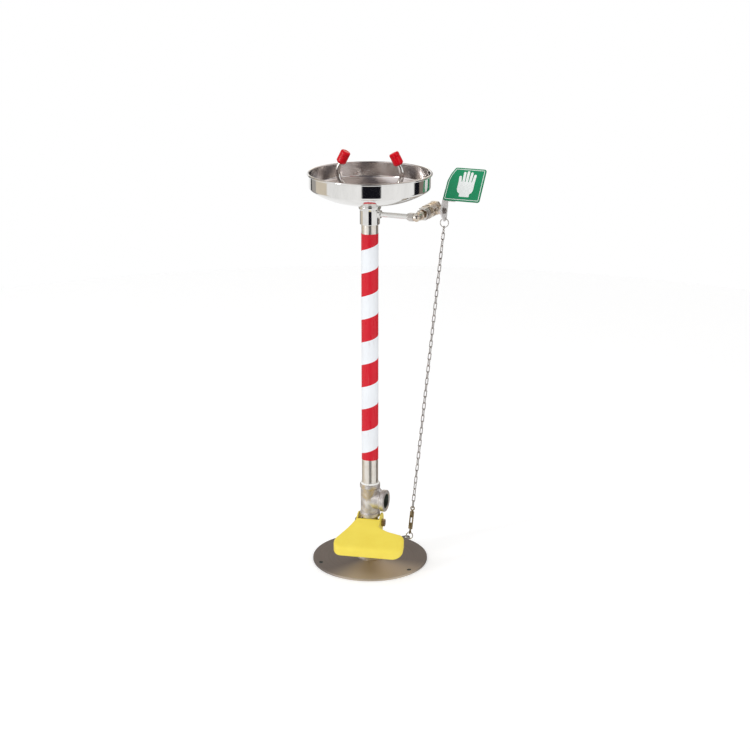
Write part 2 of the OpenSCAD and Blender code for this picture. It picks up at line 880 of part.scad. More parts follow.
// Height of the tread's plane at y
function tread_at(y) = tread_z + y * tan(pedal_slope);

// From the arm's hole, x along the arm
module at_arm_hole() {
    translate([arm_hole[0], arm_hole[1], arm_z0]) rotate([0, 0, arm_dir]) children();
}

module on_tread(z = 0) {
    translate([0, 0, tread_z]) rotate([pedal_slope, 0, 0]) translate([0, 0, z]) children();
}

// Everything below the tread's plane moved up by z
module under_tread(z = 0) {
    on_tread(z) translate([-200, -300, -200]) cube([400, 600, 200]);
}

// Tread with its turned-down edge, open where the neck goes
module tread() {
    outer = rounded(pedal_outline, pedal_radii, 8);
    difference() {
        intersection() {
            linear_extrude(2 * tread_z) polygon(outer);
            under_tread();
        }
        under_tread(-pedal_lip * cos(pedal_slope));
        intersection() {
            linear_extrude(2 * tread_z) polygon(inset(outer, pedal_t));
            under_tread(-pedal_t);
        }
        translate([-ear_x, neck_y0 + 8, 0]) cube([2 * ear_x, 100, 2 * tread_z]);
    }
}

// Steeper neck that rises to the post, and its two sides
module neck() {
    outer_x = ear_x + ear_t;
    translate([-outer_x, 0, 0]) rotate([90, 0, 90]) linear_extrude(2 * outer_x)
        polygon([[neck_y0, tread_at(neck_y0) - pedal_t], [neck_y1, neck_z1 - pedal_t],
            [neck_y1, neck_z1], [neck_y0, tread_at(neck_y0)]]);
    for (x = [-outer_x, ear_x])
        translate([x, 0, 0]) rotate([90, 0, 90]) linear_extrude(ear_t)
            polygon([[neck_y0, tread_at(neck_y0) - 4], [neck_y1, tread_at(neck_y1) - 6],
                [neck_y1 + 14, neck_z1 + 6], [neck_y1, neck_z1], [neck_y0, tread_at(neck_y0)]]);
}

module pedal() {
    color("yellow")
    difference() {
        union() {
            tread();
            neck();
            for (x = [-ear_x - ear_t, ear_x])
                along_x(x, hinge_z) cylinder(r = ear_r, h = ear_t);
        }
        translate([-ear_x, neck_y1, hinge_z - 60]) cube([2 * ear_x, 80, 120]);
        along_x(-50, hinge_z) cylinder(r = bush_r, h = 100);
        at_arm_hole() translate([9, -arm_w / 2 - 1, -20]) cube([16, arm_w + 2, 20 + arm_t + 0.5]);
    }
}

module pedal_arm() {
    color("dimgray")
    difference() {
        at_arm_hole() {
            translate([0, -arm_w / 2, 0]) cube([arm_l, arm_w, arm_t]);
            cylinder(r = arm_w / 2, h = arm_t);
            translate([30, -arm_t / 2, 0]) cube([arm_l - 30, arm_t, 30]);
        }
        at_arm_hole() translate([0, 0, -1]) cylinder(r = arm_hole_r, h = arm_t + 2);
        on_tread(-pedal_t) translate([0, -200, 0]) cube([150, 250, 80]);
    }
}

module hinge_bolt() {
    color(steel)
    union() {
        along_x(-bolt_end, hinge_z) cylinder(r = bolt_r, h = bolt_end + washer_x + washer_t);
        along_x(washer_x + washer_t, hinge_z) hex(17, 6.4);
    }
}

module hinge_nut() {
    color(steel)
    difference() {
        along_x(-washer_x - washer_t - nut_t, hinge_z) hex(17, nut_t);
        along_x(-60, hinge_z) cylinder(r = bolt_r, h = 60);
    }
}

module hinge_washers() {
    color(steel) both_sides() along_x(washer_x, hinge_z) pipe(10, bolt_r, washer_t);
}

module hinge_spacers() {
    x0 = post_r + 0.1;
    color(steel) both_sides() along_x(x0, hinge_z) pipe(spacer_r, bolt_r, ear_x - gap - x0);
}

module hinge_bushes() {
    color("white") both_sides() along_x(ear_x, hinge_z) pipe(bush_r, bolt_r + fit, ear_t);
}

base_plate();
floor_socket();
riser_nipple();
riser_plug();
drain_tee();
sealant_ring();
post_pipe();
striped_sleeve();
bowl_collar();
bowl_gasket();
bowl();
drain_flange();
drain_strainer();
supply_riser();
spray_hub();
tube_nuts();
spray_tube_left();
spray_tube_right();
spray_body_left();
spray_body_right();
flow_regulators();
screen_packs();
spray_discs();
dust_cover_left();
dust_cover_right();
cover_pins();
supply_pipe();
pipe_nut();
elbow();
union_tail();
union_nut();
valve_body();
valve_end();
ball();
ball_seats();
stem();
stem_packing();
gland_nut();
lever_plate();
lever_washer();
stem_nut();
sign_plate();
sign_label();
sign_rivets();
pull_ring();
chain();
turnbuckle_upper_eye();
turnbuckle_body();
turnbuckle_lower_eye();
lower_ring();
pedal();
pedal_arm();
hinge_bolt();
hinge_bushes();
hinge_spacers();
hinge_washers();
hinge_nut();
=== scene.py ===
"""Eyewash station: materials, detailed pieces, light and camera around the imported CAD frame."""
import json
import math

import bmesh
import bpy
from mathutils import Matrix, Vector, geometry


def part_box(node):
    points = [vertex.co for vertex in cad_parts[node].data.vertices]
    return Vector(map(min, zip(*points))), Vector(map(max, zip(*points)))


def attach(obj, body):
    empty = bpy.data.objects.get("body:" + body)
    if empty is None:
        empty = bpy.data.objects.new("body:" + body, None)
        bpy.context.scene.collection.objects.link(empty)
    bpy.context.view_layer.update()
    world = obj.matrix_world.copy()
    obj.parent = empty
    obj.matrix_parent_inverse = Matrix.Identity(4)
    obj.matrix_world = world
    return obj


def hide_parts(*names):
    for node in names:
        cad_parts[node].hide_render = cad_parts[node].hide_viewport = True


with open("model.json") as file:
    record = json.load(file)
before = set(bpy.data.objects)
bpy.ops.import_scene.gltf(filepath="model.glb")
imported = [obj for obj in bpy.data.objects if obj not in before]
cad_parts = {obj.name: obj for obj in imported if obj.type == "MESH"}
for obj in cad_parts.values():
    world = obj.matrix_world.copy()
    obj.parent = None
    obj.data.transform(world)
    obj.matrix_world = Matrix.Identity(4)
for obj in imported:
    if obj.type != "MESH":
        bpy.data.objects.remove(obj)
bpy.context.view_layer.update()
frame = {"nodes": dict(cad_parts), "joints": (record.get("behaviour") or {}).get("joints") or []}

MM = 0.001
X, Y, Z = Vector((1, 0, 0)), Vector((0, 1, 0)), Vector((0, 0, 1))
JOINTS = {j["name"]: j for j in frame["joints"]}


# ---------------------------------------------------------------- places


def local(at=(0, 0, 0), z=Z, x=X):
    """Matrix of a frame inside another one, in its units."""
    z = Vector(z).normalized()
    x = Vector(x)
    x = (x - z * x.dot(z)).normalized()
    return Matrix.Translation(at) @ Matrix((x, z.cross(x), z)).transposed().to_4x4()


def place(origin, z_axis=Z, x_axis=X):
    """Matrix from a local frame in millimetres to the row frame in metres."""
    return local(origin, z_axis, x_axis) @ Matrix.Scale(MM, 4)


def joint_pos(name):
    return Vector(JOINTS[name]["pos_m"])


def joint_axis(name):
    return Vector(JOINTS[name]["axis"])


def low(node):
    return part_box(node)[0] / MM


def high(node):
    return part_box(node)[1] / MM


def raised(at, height):
    """A frame moved along its own z."""
    return at @ Matrix.Translation((0, 0, height))


def heights(node):
    """Lowest and highest z of a CAD node."""
    return low(node).z, high(node).z


FLOOR = place(Vector((0, 0, 0)))
ARM_X = -joint_axis("handle_turn")          # along the supply arm, away from the post
ARM_Y = Z.cross(ARM_X)                      # back to the water inlet
STEM = joint_pos("handle_turn")
ARM_O = Vector((0, 0, STEM.z))


def on_arm(x=0.0, y=0.0, z=0.0, along=None, across=Z):
    """Frame at a point of the supply arm, in millimetres from the post's axis."""
    at = ARM_O + (ARM_X * x + ARM_Y * y + Z * z) * MM
    return place(at, along or ARM_X, across)


# ---------------------------------------------------------------- outlines


def arc(cx, cy, r, a0, a1, n):
    """Points of an arc, angles in degrees."""
    out = []
    for i in range(n + 1):
        a = math.radians(a0 + (a1 - a0) * i / n)
        out.append((cx + r * math.cos(a), cy + r * math.sin(a)))
    return out


def rounded(points, radii, n=6):
    """Outline with rounded corners; radii is one number or one for each corner."""
    if not isinstance(radii, (list, tuple)):
        radii = [radii] * len(points)
    out = []
    for i, (b, r) in enumerate(zip(points, radii)):
        a, c = Vector(points[i - 1]), Vector(points[(i + 1) % len(points)])
        b = Vector(b)
        u, v = (a - b).normalized(), (c - b).normalized()
        half = math.acos(max(-1.0, min(1.0, u.dot(v)))) / 2
        if r <= 0 or half > math.radians(89.5):
            out.append(tuple(b))
            continue
        t = min(r / math.tan(half), (a - b).length * 0.49, (c - b).length * 0.49)
        r = t * math.tan(half)
        m = b + (u + v).normalized() * r / math.sin(half)
        s, e = b + u * t - m, b + v * t - m
        turn = math.atan2(s.x * e.y - s.y * e.x, s.dot(e))
        start = math.atan2(s.y, s.x)
        for k in range(n + 1):
            g = start + turn * k / n
            out.append((m.x + r * math.cos(g), m.y + r * math.sin(g)))
    return out


def inset(points, d):
    """Counter-clockwise outline moved inwards by d."""
    out = []
    for i, p in enumerate(points):
        p = Vector(p)
        e0 = (p - Vector(points[i - 1])).normalized()
        e1 = (Vector(points[(i + 1) % len(points)]) - p).normalized()
        n0, n1 = Vector((-e0.y, e0.x)), Vector((-e1.y, e1.x))
        m = (n0 + n1).normalized()
        out.append(tuple(p + m * (d / max(m.dot(n0), 0.3))))
    return out


def inside(p, outline):
    """True if p is inside the closed outline."""
    hit = False
    for i, (x1, y1) in enumerate(outline):
        x0, y0 = outline[i - 1]
        if (y0 > p[1]) != (y1 > p[1]) and p[0] < x0 + (p[1] - y0) * (x1 - x0) / (y1 - y0):
            hit = not hit
    return hit


def circle(cx, cy, r, n=40):
    return arc(cx, cy, r, 0, 360, n)[:-1]


def level_ring(r, z, n):
    """Points of a circle about local z, all at height z."""
    return [(r * math.cos(a), r * math.sin(a), z) for a in (2 * math.pi * i / n for i in range(n))]


# ---------------------------------------------------------------- building pieces


def linked(name, data):
    """An object of this data, in the scene."""
    obj = bpy.data.objects.new(name, data)
    bpy.context.scene.collection.objects.link(obj)
    return obj


class Piece:
    """A mesh put together from turned, swept and flat shapes, in millimetres."""

    def __init__(self):
        self.bm = bmesh.new()

    def rings(self, rings, at, around=True, closed=False, shade=0):
        """Joins rings of points, each a list of (x, y, z); a ring of one point is a pole."""
        made = [[self.bm.verts.new(at @ Vector(p)) for p in ring] for ring in rings]
        pairs = list(zip(made, made[1:]))
        if closed:
            pairs.append((made[-1], made[0]))
        for a, b in pairs:
            n = max(len(a), len(b))
            for i in range(n if around else n - 1):
                j = (i + 1) % n
                quad = [a[i % len(a)], a[j % len(a)], b[j % len(b)], b[i % len(b)]]
                corners = list(dict.fromkeys(quad))
                if len(corners) > 2:
                    face = self.bm.faces.new(corners)
                    face.material_index = shade
        return self

    def turned(self, profile, at, n=96, fillet=0.4, closed=True, shade=0):
        """Surface of revolution about local z of a profile of (r, z) or (r, z, fillet)."""
        flat = [p[:2] for p in profile]
        radii = [(p[2] if len(p) > 2 else fillet) if p[0] > 0 else 0 for p in profile]
        if not closed:
            radii[0] = radii[-1] = 0
        line = rounded(flat, radii, 4)
        rings = [[(0, 0, z)] if r < 1e-6 else level_ring(r, z, n) for r, z in line]
        return self.rings(rings, at, closed=closed, shade=shade)

    def swept(self, points, radius, at, n=24, loop=False, caps=True, shade=0):
        """Round bar along points; radius is a number or one for each point."""
        pts = [Vector(p) for p in points]
        count = len(pts)
        radii = radius if isinstance(radius, list) else [radius] * count
        rings, side = [], None
        for i, p in enumerate(pts):
            before = pts[i - 1] if i or loop else p
            after = pts[(i + 1) % count] if i < count - 1 or loop else p
            t = (after - before).normalized()
            if side is None:
                side = t.orthogonal().normalized()
            side = (side - t * side.dot(t)).normalized()
            up = t.cross(side)
            rings.append([p + (side * math.cos(a) + up * math.sin(a)) * radii[i]
                          for a in (2 * math.pi * k / n for k in range(n))])
        if caps and not loop:
            rings = [[pts[0]]] + rings + [[pts[-1]]]
        return self.rings(rings, at, closed=loop, shade=shade)

    def flat(self, outlines, thick, at, bevel=0.3, shade=0):
        """Plate of the first outline, with the others as holes; local z from 0 to thick."""
        curve = bpy.data.curves.new("outline", "CURVE")
        curve.dimensions = "2D"
        curve.fill_mode = "BOTH"
        curve.extrude = thick / 2 - bevel
        curve.bevel_depth = bevel
        curve.bevel_resolution = 2
        curve.offset = -bevel
        for outline in outlines:
            spline = curve.splines.new("POLY")
            spline.points.add(len(outline) - 1)
            for point, (x, y) in zip(spline.points, outline):
                point.co = (x, y, 0, 1)
            spline.use_cyclic_u = True
        holder = bpy.data.objects.new("outline", curve)
        mesh = bpy.data.meshes.new_from_object(holder)
        mesh.transform(raised(at, thick / 2))
        bpy.data.objects.remove(holder)
        bpy.data.curves.remove(curve)
        return self.add(mesh, shade)

    def add(self, mesh, shade=0):
        """Takes in a mesh that is already in place, and frees it."""
        old = len(self.bm.faces)
        self.bm.from_mesh(mesh)
        self.bm.faces.ensure_lookup_table()
        for face in self.bm.faces[old:]:
            face.material_index = shade
        bpy.data.meshes.remove(mesh)
        return self

    def made(self, name, body, looks, slot, replaces=(), angle=32, weld=True):
        """Finishes the piece as an object that rides on a body and stands for CAD nodes."""
        if weld:
            bmesh.ops.remove_doubles(self.bm, verts=self.bm.verts, dist=2e-6)
        bmesh.ops.recalc_face_normals(self.bm, faces=self.bm.faces)
        mesh = bpy.data.meshes.new(name)
        self.bm.to_mesh(mesh)
        self.bm.free()
        mesh.polygons.foreach_set("use_smooth", [True] * len(mesh.polygons))
        mesh.set_sharp_from_angle(angle=math.radians(angle))
        obj = linked(name, mesh)
        obj.data = modified(obj, ("WEIGHTED_NORMAL", {"mode": "FACE_AREA", "keep_sharp": True}))
        bpy.data.meshes.remove(mesh)
        mesh = obj.data
        mesh.name = name
        for look in looks if isinstance(looks, (list, tuple)) else [looks]:
            mesh.materials.append(look)
        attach(obj, body)
        if replaces:
            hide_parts(*replaces)
        return obj


def modified(obj, *modifiers):
    """Applies modifiers, each (kind, settings), to an object's mesh."""
    for kind, settings in modifiers:
        modifier = obj.modifiers.new(kind, kind)
        for key, value in settings.items():
            setattr(modifier, key, value)
    graph = bpy.context.evaluated_depsgraph_get()
    mesh = bpy.data.meshes.new_from_object(obj.evaluated_get(graph))
    obj.modifiers.clear()
    return mesh


def cad_copy(node):
    """A copy of a CAD node's mesh, welded, as a loose object."""
    mesh = frame["nodes"][node].data.copy()
    bm = bmesh.new()
    bm.from_mesh(mesh)
    bmesh.ops.remove_doubles(bm, verts=bm.verts, dist=1e-6)
    bm.to_mesh(mesh)
    bm.free()
    mesh.materials.clear()
    return linked("copy_" + node, mesh)


def cast(node, name, body, look, slot, voxel=0.9, rounds=6):
    """The CAD node's shape as a casting: edges and inner corners run soft."""
    copy = cad_copy(node)
    mesh = modified(
        copy,
        ("REMESH", {"mode": "VOXEL", "voxel_size": voxel * MM}),
        ("SMOOTH", {"factor": 0.5, "iterations": rounds}),
    )
    bpy.data.objects.remove(copy)
    return Piece().add(mesh).made(name, body, look, slot, [node], angle=60, weld=False)


def machined(node, name, body, look, slot, bevel=0.35):
    """The CAD node's shape with broken edges, as turned or milled parts have."""
    copy = cad_copy(node)
    bm = bmesh.new()
    bm.from_mesh(copy.data)
    bmesh.ops.dissolve_limit(bm, angle_limit=math.radians(0.6), verts=bm.verts, edges=bm.edges)
    bm.to_mesh(copy.data)
    bm.free()
    mesh = modified(
        copy,
        ("BEVEL", {"width": bevel * MM, "segments": 2, "limit_method": "ANGLE",
                   "angle_limit": math.radians(38), "use_clamp_overlap": True}),
    )
    bpy.data.objects.remove(copy)
    return Piece().add(mesh).made(name, body, look, slot, [node], angle=30, weld=False)


# ---------------------------------------------------------------- materials


def new_node(tree, kind, inputs=(), settings=None):
    """A node with its settings made, and its inputs set or linked."""
    made = tree.nodes.new(kind)
    for key, value in (settings or {}).items():
        setattr(made, key, value)
    for key, value in dict(inputs).items():
        if isinstance(value, bpy.types.NodeSocket):
            tree.links.new(value, made.inputs[key])
        else:
            made.inputs[key].default_value = value
    return made


SHEEN_PEAK = 0.9              # the painted sheen's share of the colour where its fan is strongest


class Look:
    """A node material, with short calls for what these surfaces need."""

    def __init__(self, name, colour, metallic=0.0, roughness=0.4, **sockets):
        self.material = bpy.data.materials.new(name)
        self.material.use_nodes = True
        self.tree = self.material.node_tree
        self.bsdf = self.tree.nodes["Principled BSDF"]
        self.set("Base Color", (*colour, 1))
        self.set("Metallic", metallic)
        self.set("Roughness", roughness)
        for key, value in sockets.items():
            self.set(key.replace("_", " "), value)

    def set(self, socket, value):
        self.bsdf.inputs[socket].default_value = value

    def node(self, kind, inputs=(), **settings):
        return new_node(self.tree, kind, inputs, settings)

    def link(self, value, socket):
        self.tree.links.new(value, self.bsdf.inputs[socket])
        return self

    def coords(self, scale=(1, 1, 1)):
        """The point in the row frame, in metres, stretched by scale."""
        source = self.node("ShaderNodeTexCoord").outputs["Object"]
        mapping = self.node("ShaderNodeMapping", {"Vector": source, "Scale": scale})
        return mapping.outputs["Vector"]

    def polar(self, radial=1.0, around=1.0, height=1.0):
        """(radius, angle, height) of the point about the post, each stretched."""
        parts = self.node("ShaderNodeSeparateXYZ", {"Vector": self.coords()})
        x, y, z = parts.outputs
        flat = self.node("ShaderNodeCombineXYZ", {"X": x, "Y": y})
        r = self.node("ShaderNodeVectorMath", {0: flat.outputs[0]}, operation="LENGTH").outputs["Value"]
        a = self.maths("ARCTAN2", y, x)
        joined = self.node("ShaderNodeCombineXYZ", {
            "X": self.maths("MULTIPLY", r, radial),
            "Y": self.maths("MULTIPLY", a, around),
            "Z": self.maths("MULTIPLY", z, height),
        })
        return joined.outputs[0]

    def maths(self, operation, a, b=0.0, c=0.0):
        return self.node("ShaderNodeMath", {0: a, 1: b, 2: c}, operation=operation).outputs[0]

    def noise(self, vector, scale, detail=3.0, roughness=0.5, distortion=0.0):
        made = self.node("ShaderNodeTexNoise", {
            "Vector": vector, "Scale": scale, "Detail": detail,
            "Roughness": roughness, "Distortion": distortion,
        })
        return made.outputs["Fac"]

    def spread(self, value, low0, high0, low1, high1):
        """Maps low0..high0 to low1..high1, and holds the ends."""
        made = self.node("ShaderNodeMapRange", {
            "Value": value, "From Min": low0, "From Max": high0, "To Min": low1, "To Max": high1,
        })
        return made.outputs["Result"]

    def mix(self, factor, a, b, blend="MIX"):
        made = self.node("ShaderNodeMix", data_type="RGBA", blend_type=blend)
        for socket, value in ((made.inputs[0], factor), (made.inputs[6], a), (made.inputs[7], b)):
            if isinstance(value, bpy.types.NodeSocket):
                self.tree.links.new(value, socket)
            else:
                socket.default_value = (*value, 1) if isinstance(value, tuple) else value
        return made.outputs[2]

    def tone(self, field, start, end, share, under, over):
        """The colour under, with a share of over laid on it as field rises from start to end."""
        return self.mix(self.spread(field, start, end, 0, share), under, over)

    def finish(self, colour, roughness, normal):
        """Links the three to the surface and gives the material."""
        self.link(colour, "Base Color")
        self.link(roughness, "Roughness")
        self.link(normal, "Normal")
        return self.material

    def fan(self, centre, span):
        """Mask of the painted sheen: its peak share at the azimuth centre about the post, and 0 from span
        away on, both in degrees.
        """
        x, y, _ = self.node("ShaderNodeSeparateXYZ", {"Vector": self.coords()}).outputs
        off = self.maths("SUBTRACT", self.maths("ARCTAN2", y, x), math.radians(centre))
        made = self.node("ShaderNodeMapRange", {
            "Value": self.maths("COSINE", off), "From Min": math.cos(math.radians(span)), "To Max": SHEEN_PEAK,
        }, interpolation_type="SMOOTHSTEP")
        return made.outputs["Result"]

    def round_tangent(self):
        """Brush marks run round the post."""
        tangent = self.node("ShaderNodeTangent", direction_type="RADIAL", axis="Z")
        return self.link(tangent.outputs[0], "Tangent")

    def bump(self, height, strength, distance, under=None):
        inputs = {"Height": height, "Strength": strength, "Distance": distance}
        if under is not None:
            inputs["Normal"] = under
        return self.node("ShaderNodeBump", inputs).outputs["Normal"]


def polished(name, colour, rough_low, rough_high, smear=(1, 1, 1), metallic=1.0):
    """Bright metal with faint wipe marks and fine pits."""
    look = Look(name, colour, metallic=metallic, roughness=rough_low)
    wipe = look.noise(look.coords(smear), 38, 4, 0.6)
    fine = look.noise(look.coords(), 900, 2, 0.5)
    tone = look.tone(wipe, 0.3, 0.75, 1, colour, tuple(c * 0.86 for c in colour))
    rough = look.spread(wipe, 0.35, 0.7, rough_low, rough_high)
    return look.finish(tone, rough, look.bump(fine, 0.05, 0.0002))


def brushed_round(name, colour, dark, rough_low, rough_high, anisotropy, painted_sheen=None, sheen_at=0,
                  sheen_span=0):
    """Metal brushed in circles about the post: fine rings with long faint streaks.

    Where given, a painted sheen, that is a painted reflection, is laid into the colour as a lighter fan about
    the azimuth it is given at, and fades over the span it is given, both in degrees. It is fixed to the piece
    and does not change with the view.
    """
    look = Look(name, colour, metallic=1.0, roughness=rough_low, Anisotropic=anisotropy,
                Anisotropic_Rotation=0.25)
    rings = look.noise(look.polar(2600, 0.9, 1700), 1.0, 2, 0.6)
    wide = look.noise(look.polar(240, 0.5, 160), 1.0, 2, 0.5)
    cloud = look.noise(look.coords(), 11, 3, 0.55)
    tone = look.tone(rings, 0.25, 0.75, 1, dark, colour)
    tone = look.tone(wide, 0.3, 0.8, 0.35, tone, tuple(c * 1.15 for c in colour))
    tone = look.tone(cloud, 0.45, 0.75, 0.3, tone, dark)
    # painted sheen: a lighter fan laid into the colour, a painted reflection
    if painted_sheen:
        tone = look.mix(look.fan(sheen_at, sheen_span), tone, painted_sheen)
    look.round_tangent()
    rough = look.spread(rings, 0.2, 0.8, rough_low, rough_high)
    return look.finish(tone, rough, look.bump(rings, 0.02, 0.0001))


def stainless_pipe():
    """Ground pipe: mirrors stretch along it, with draw lines and a few warm stains."""
    look = Look("pipe_steel", (0.60, 0.56, 0.51), metallic=1.0, roughness=0.3, Anisotropic=0.7,
                Anisotropic_Rotation=0.25)
    lines = look.noise(look.polar(1, 60, 6), 1.0, 4, 0.6)
    cloud = look.noise(look.coords((1, 1, 0.5)), 60, 4, 0.6)
    tone = look.tone(lines, 0.3, 0.7, 0.4, (0.84, 0.80, 0.74), (0.70, 0.65, 0.59))
    tone = look.tone(cloud, 0.5, 0.8, 0.6, tone, (0.56, 0.46, 0.32))
    look.round_tangent()
    return look.finish(tone, look.spread(lines, 0.2, 0.8, 0.27, 0.34), look.bump(lines, 0.01, 0.0002))


def cast_steel(name, low, high, straw):
    """Tumbled casting: a pebbled skin with heat stains."""
    look = Look(name, high, metallic=1.0, roughness=0.38)
    point = look.coords()
    skin = look.noise(point, 420, 5, 0.62)
    lumps = look.noise(point, 95, 3, 0.5)
    stain = look.noise(point, 26, 4, 0.55, 0.4)
    tone = look.tone(lumps, 0.3, 0.7, 1, low, high)
    tone = look.tone(stain, 0.52, 0.66, 0.75, tone, straw)
    coarse = look.bump(lumps, 0.25, 0.001)
    return look.finish(tone, look.spread(skin, 0.3, 0.7, 0.42, 0.60), look.bump(skin, 0.35, 0.0005, coarse))


def nickel_brass():
    """Nickel-plated brass, worn warm on its edges and faces."""
    look = Look("nickel_brass", (0.60, 0.52, 0.43), metallic=1.0, roughness=0.24)
    point = look.coords()
    wear = look.noise(point, 70, 5, 0.6)
    fine = look.noise(point, 700, 3, 0.5)
    tone = look.tone(wear, 0.42, 0.62, 1, (0.80, 0.75, 0.69), (0.56, 0.43, 0.29))
    return look.finish(tone, look.spread(wear, 0.3, 0.7, 0.16, 0.40), look.bump(fine, 0.12, 0.0003))


STRIPE_PITCH = 118.2        # height of one red and one white band, mm
STRIPE_RISE = 7.35          # rise of a band's edge for each radian round the post, mm
STRIPE_EDGE = 882.9         # top edge of a red band at the film's left, mm
STRIPE_LEFT = 192           # where that edge is measured, degrees about the post
SEAM = 102                  # the film's seam, at the back, degrees about the post


def striped_film():
    """Glossy printed film, red and white in slanting bands, with a seam at the back."""
    look = Look("striped_film", (0.64, 0.01, 0.02), roughness=0.3, Specular_IOR_Level=0.3)
    x, y, z = look.node("ShaderNodeSeparateXYZ", {"Vector": look.coords()}).outputs
    seam = math.radians(SEAM)
    angle = look.maths("ARCTAN2", y, x)
    turned = look.maths("FLOORED_MODULO", look.maths("SUBTRACT", angle, seam), 2 * math.pi)
    from_left = look.maths("SUBTRACT", turned, math.radians(STRIPE_LEFT) - seam)
    rise = look.maths("MULTIPLY", from_left, STRIPE_RISE * MM)
    drop = look.maths("SUBTRACT", look.maths("ADD", rise, STRIPE_EDGE * MM), z)
    waver = look.spread(look.noise(look.coords((1, 1, 0.3)), 60, 2), 0, 1, -0.0006, 0.0006)
    band = look.maths("DIVIDE", look.maths("ADD", drop, waver), STRIPE_PITCH * MM)
    phase = look.maths("FLOORED_MODULO", band, 1.0)
    white = look.spread(look.maths("PINGPONG", look.maths("ADD", phase, 0.25), 0.5), 0.2485, 0.2515, 1, 0)
    dust = look.noise(look.coords(), 14, 4, 0.6)
    grime = look.noise(look.coords((1, 1, 0.15)), 160, 3, 0.6)
    red = look.tone(dust, 0.3, 0.75, 1, (0.66, 0.008, 0.024), (0.58, 0.006, 0.018))
    pale = look.tone(dust, 0.4, 0.8, 1, (0.85, 0.88, 0.92), (0.79, 0.81, 0.84))
    tone = look.mix(white, red, pale)
    tone = look.tone(grime, 0.62, 0.85, 0.35, tone, (0.42, 0.30, 0.26))
    wrinkle = look.noise(look.polar(1, 3.2, 24), 1.0, 3, 0.5)
    return look.finish(tone, look.spread(grime, 0.3, 0.8, 0.24, 0.42), look.bump(wrinkle, 0.22, 0.0016))


def moulded(name, colour, shade, roughness, grain, depth, **sockets):
    """Moulded plastic: a faint grain, slightly uneven colour."""
    look = Look(name, colour, roughness=roughness, **sockets)
    tone = look.noise(look.coords(), 60, 3, 0.5)
    skin = look.noise(look.coords(), grain, 3, 0.6)
    rough = look.spread(skin, 0.3, 0.7, roughness * 0.8, roughness * 1.3)
    return look.finish(look.tone(tone, 0.3, 0.75, 1, colour, shade), rough, look.bump(skin, 0.10, depth))


def painted(name, colour, shade, worn, roughness, peel, **sockets):
    """Sprayed paint with orange peel, faint scuffs and a little dirt."""
    look = Look(name, colour, roughness=roughness, **sockets)
    point = look.coords()
    cloud = look.noise(point, 16, 4, 0.6)
    scuff = look.noise(look.coords((1, 0.25, 1)), 150, 6, 0.7)
    skin = look.noise(point, peel, 2, 0.5)
    tone = look.tone(cloud, 0.35, 0.75, 1, colour, shade)
    tone = look.tone(scuff, 0.66, 0.80, 0.45, tone, worn)
    rough = look.spread(scuff, 0.3, 0.8, roughness * 0.8, roughness * 1.5)
    return look.finish(tone, rough, look.bump(skin, 0.18, 0.0005))


BOWL_OUT = polished("bowl_polish", (0.83, 0.82, 0.80), 0.035, 0.10, (1, 1, 0.3))
BOWL_IN = brushed_round("bowl_brushed", (0.79, 0.76, 0.745), (0.69, 0.66, 0.645), 0.14, 0.19, 0.6)
CHROME = polished("chrome", (0.80, 0.79, 0.77), 0.05, 0.14)
BRIGHT = polished("bright_steel", (0.66, 0.63, 0.60), 0.14, 0.30)
# The plate's tint stands in for a reflection that the photo shows on its front right.
PLATE = brushed_round("plate_brushed", (0.32, 0.285, 0.268), (0.24, 0.213, 0.203), 0.54, 0.66, 0.35,
                      painted_sheen=(0.72, 0.62, 0.49), sheen_at=-66, sheen_span=66)
PIPE = stainless_pipe()
CAST = cast_steel("cast_steel", (0.54, 0.51, 0.50), (0.84, 0.81, 0.79), (0.60, 0.44, 0.18))
# painted shade: the bore finish is near-black and stands in for the shade inside holes and bores
BORE_SHADE = cast_steel("bore_painted_shade", (0.06, 0.075, 0.07), (0.13, 0.15, 0.135), (0.24, 0.21, 0.15))
NICKEL = nickel_brass()
FILM = striped_film()
RED = moulded("red_plastic", (0.74, 0.002, 0.014), (0.62, 0.001, 0.010), 0.13, 500, 0.0002,
              Specular_IOR_Level=0.28)
WHITE_PLASTIC = moulded("white_plastic", (0.85, 0.85, 0.82), (0.76, 0.76, 0.72), 0.35, 600, 0.0002)
GREY_PLASTIC = moulded("grey_plastic", (0.20, 0.20, 0.21), (0.12, 0.12, 0.13), 0.45, 600, 0.0003)
RUBBER = moulded("gasket_rubber", (0.03, 0.03, 0.03), (0.05, 0.05, 0.05), 0.6, 400, 0.0004)
SEALANT = moulded("sealant", (0.95, 0.95, 0.93), (0.84, 0.83, 0.79), 0.5, 220, 0.0012)
YELLOW = painted("yellow_paint", (0.93, 0.76, 0.095), (0.88, 0.69, 0.07), (0.62, 0.50, 0.16), 0.36, 520)
GREEN = painted("green_enamel", (0.0, 0.19, 0.08), (0.0, 0.15, 0.065), (0.02, 0.10, 0.06), 0.30, 700)
PRINT_GREEN = painted("print_green", (0.0, 0.27, 0.11), (0.0, 0.235, 0.095), (0.03, 0.27, 0.14), 0.25, 900,
                      Specular_IOR_Level=0.3)
PRINT_WHITE = painted("print_white", (0.88, 0.90, 0.89), (0.82, 0.85, 0.84), (0.70, 0.74, 0.72), 0.28, 900,
                      Specular_IOR_Level=0.3)
DARK = polished("dark_steel", (0.20, 0.18, 0.17), 0.30, 0.50)
BUCKLE = polished("buckle_brass", (0.30, 0.225, 0.125), 0.24, 0.42)
BOLT = polished("bolt_steel", (0.44, 0.33, 0.22), 0.22, 0.40)
SATIN = polished("satin_steel", (0.78, 0.76, 0.75), 0.40, 0.55, metallic=0.35)
CHAIN_STEEL = polished("chain_steel", (0.58, 0.55, 0.53), 0.12, 0.26)


# ---------------------------------------------------------------- shared pieces


def ring_path(r, n=48):
    return [(r * math.cos(a), 0, r * math.sin(a)) for a in (2 * math.pi * i / n for i in range(n))]


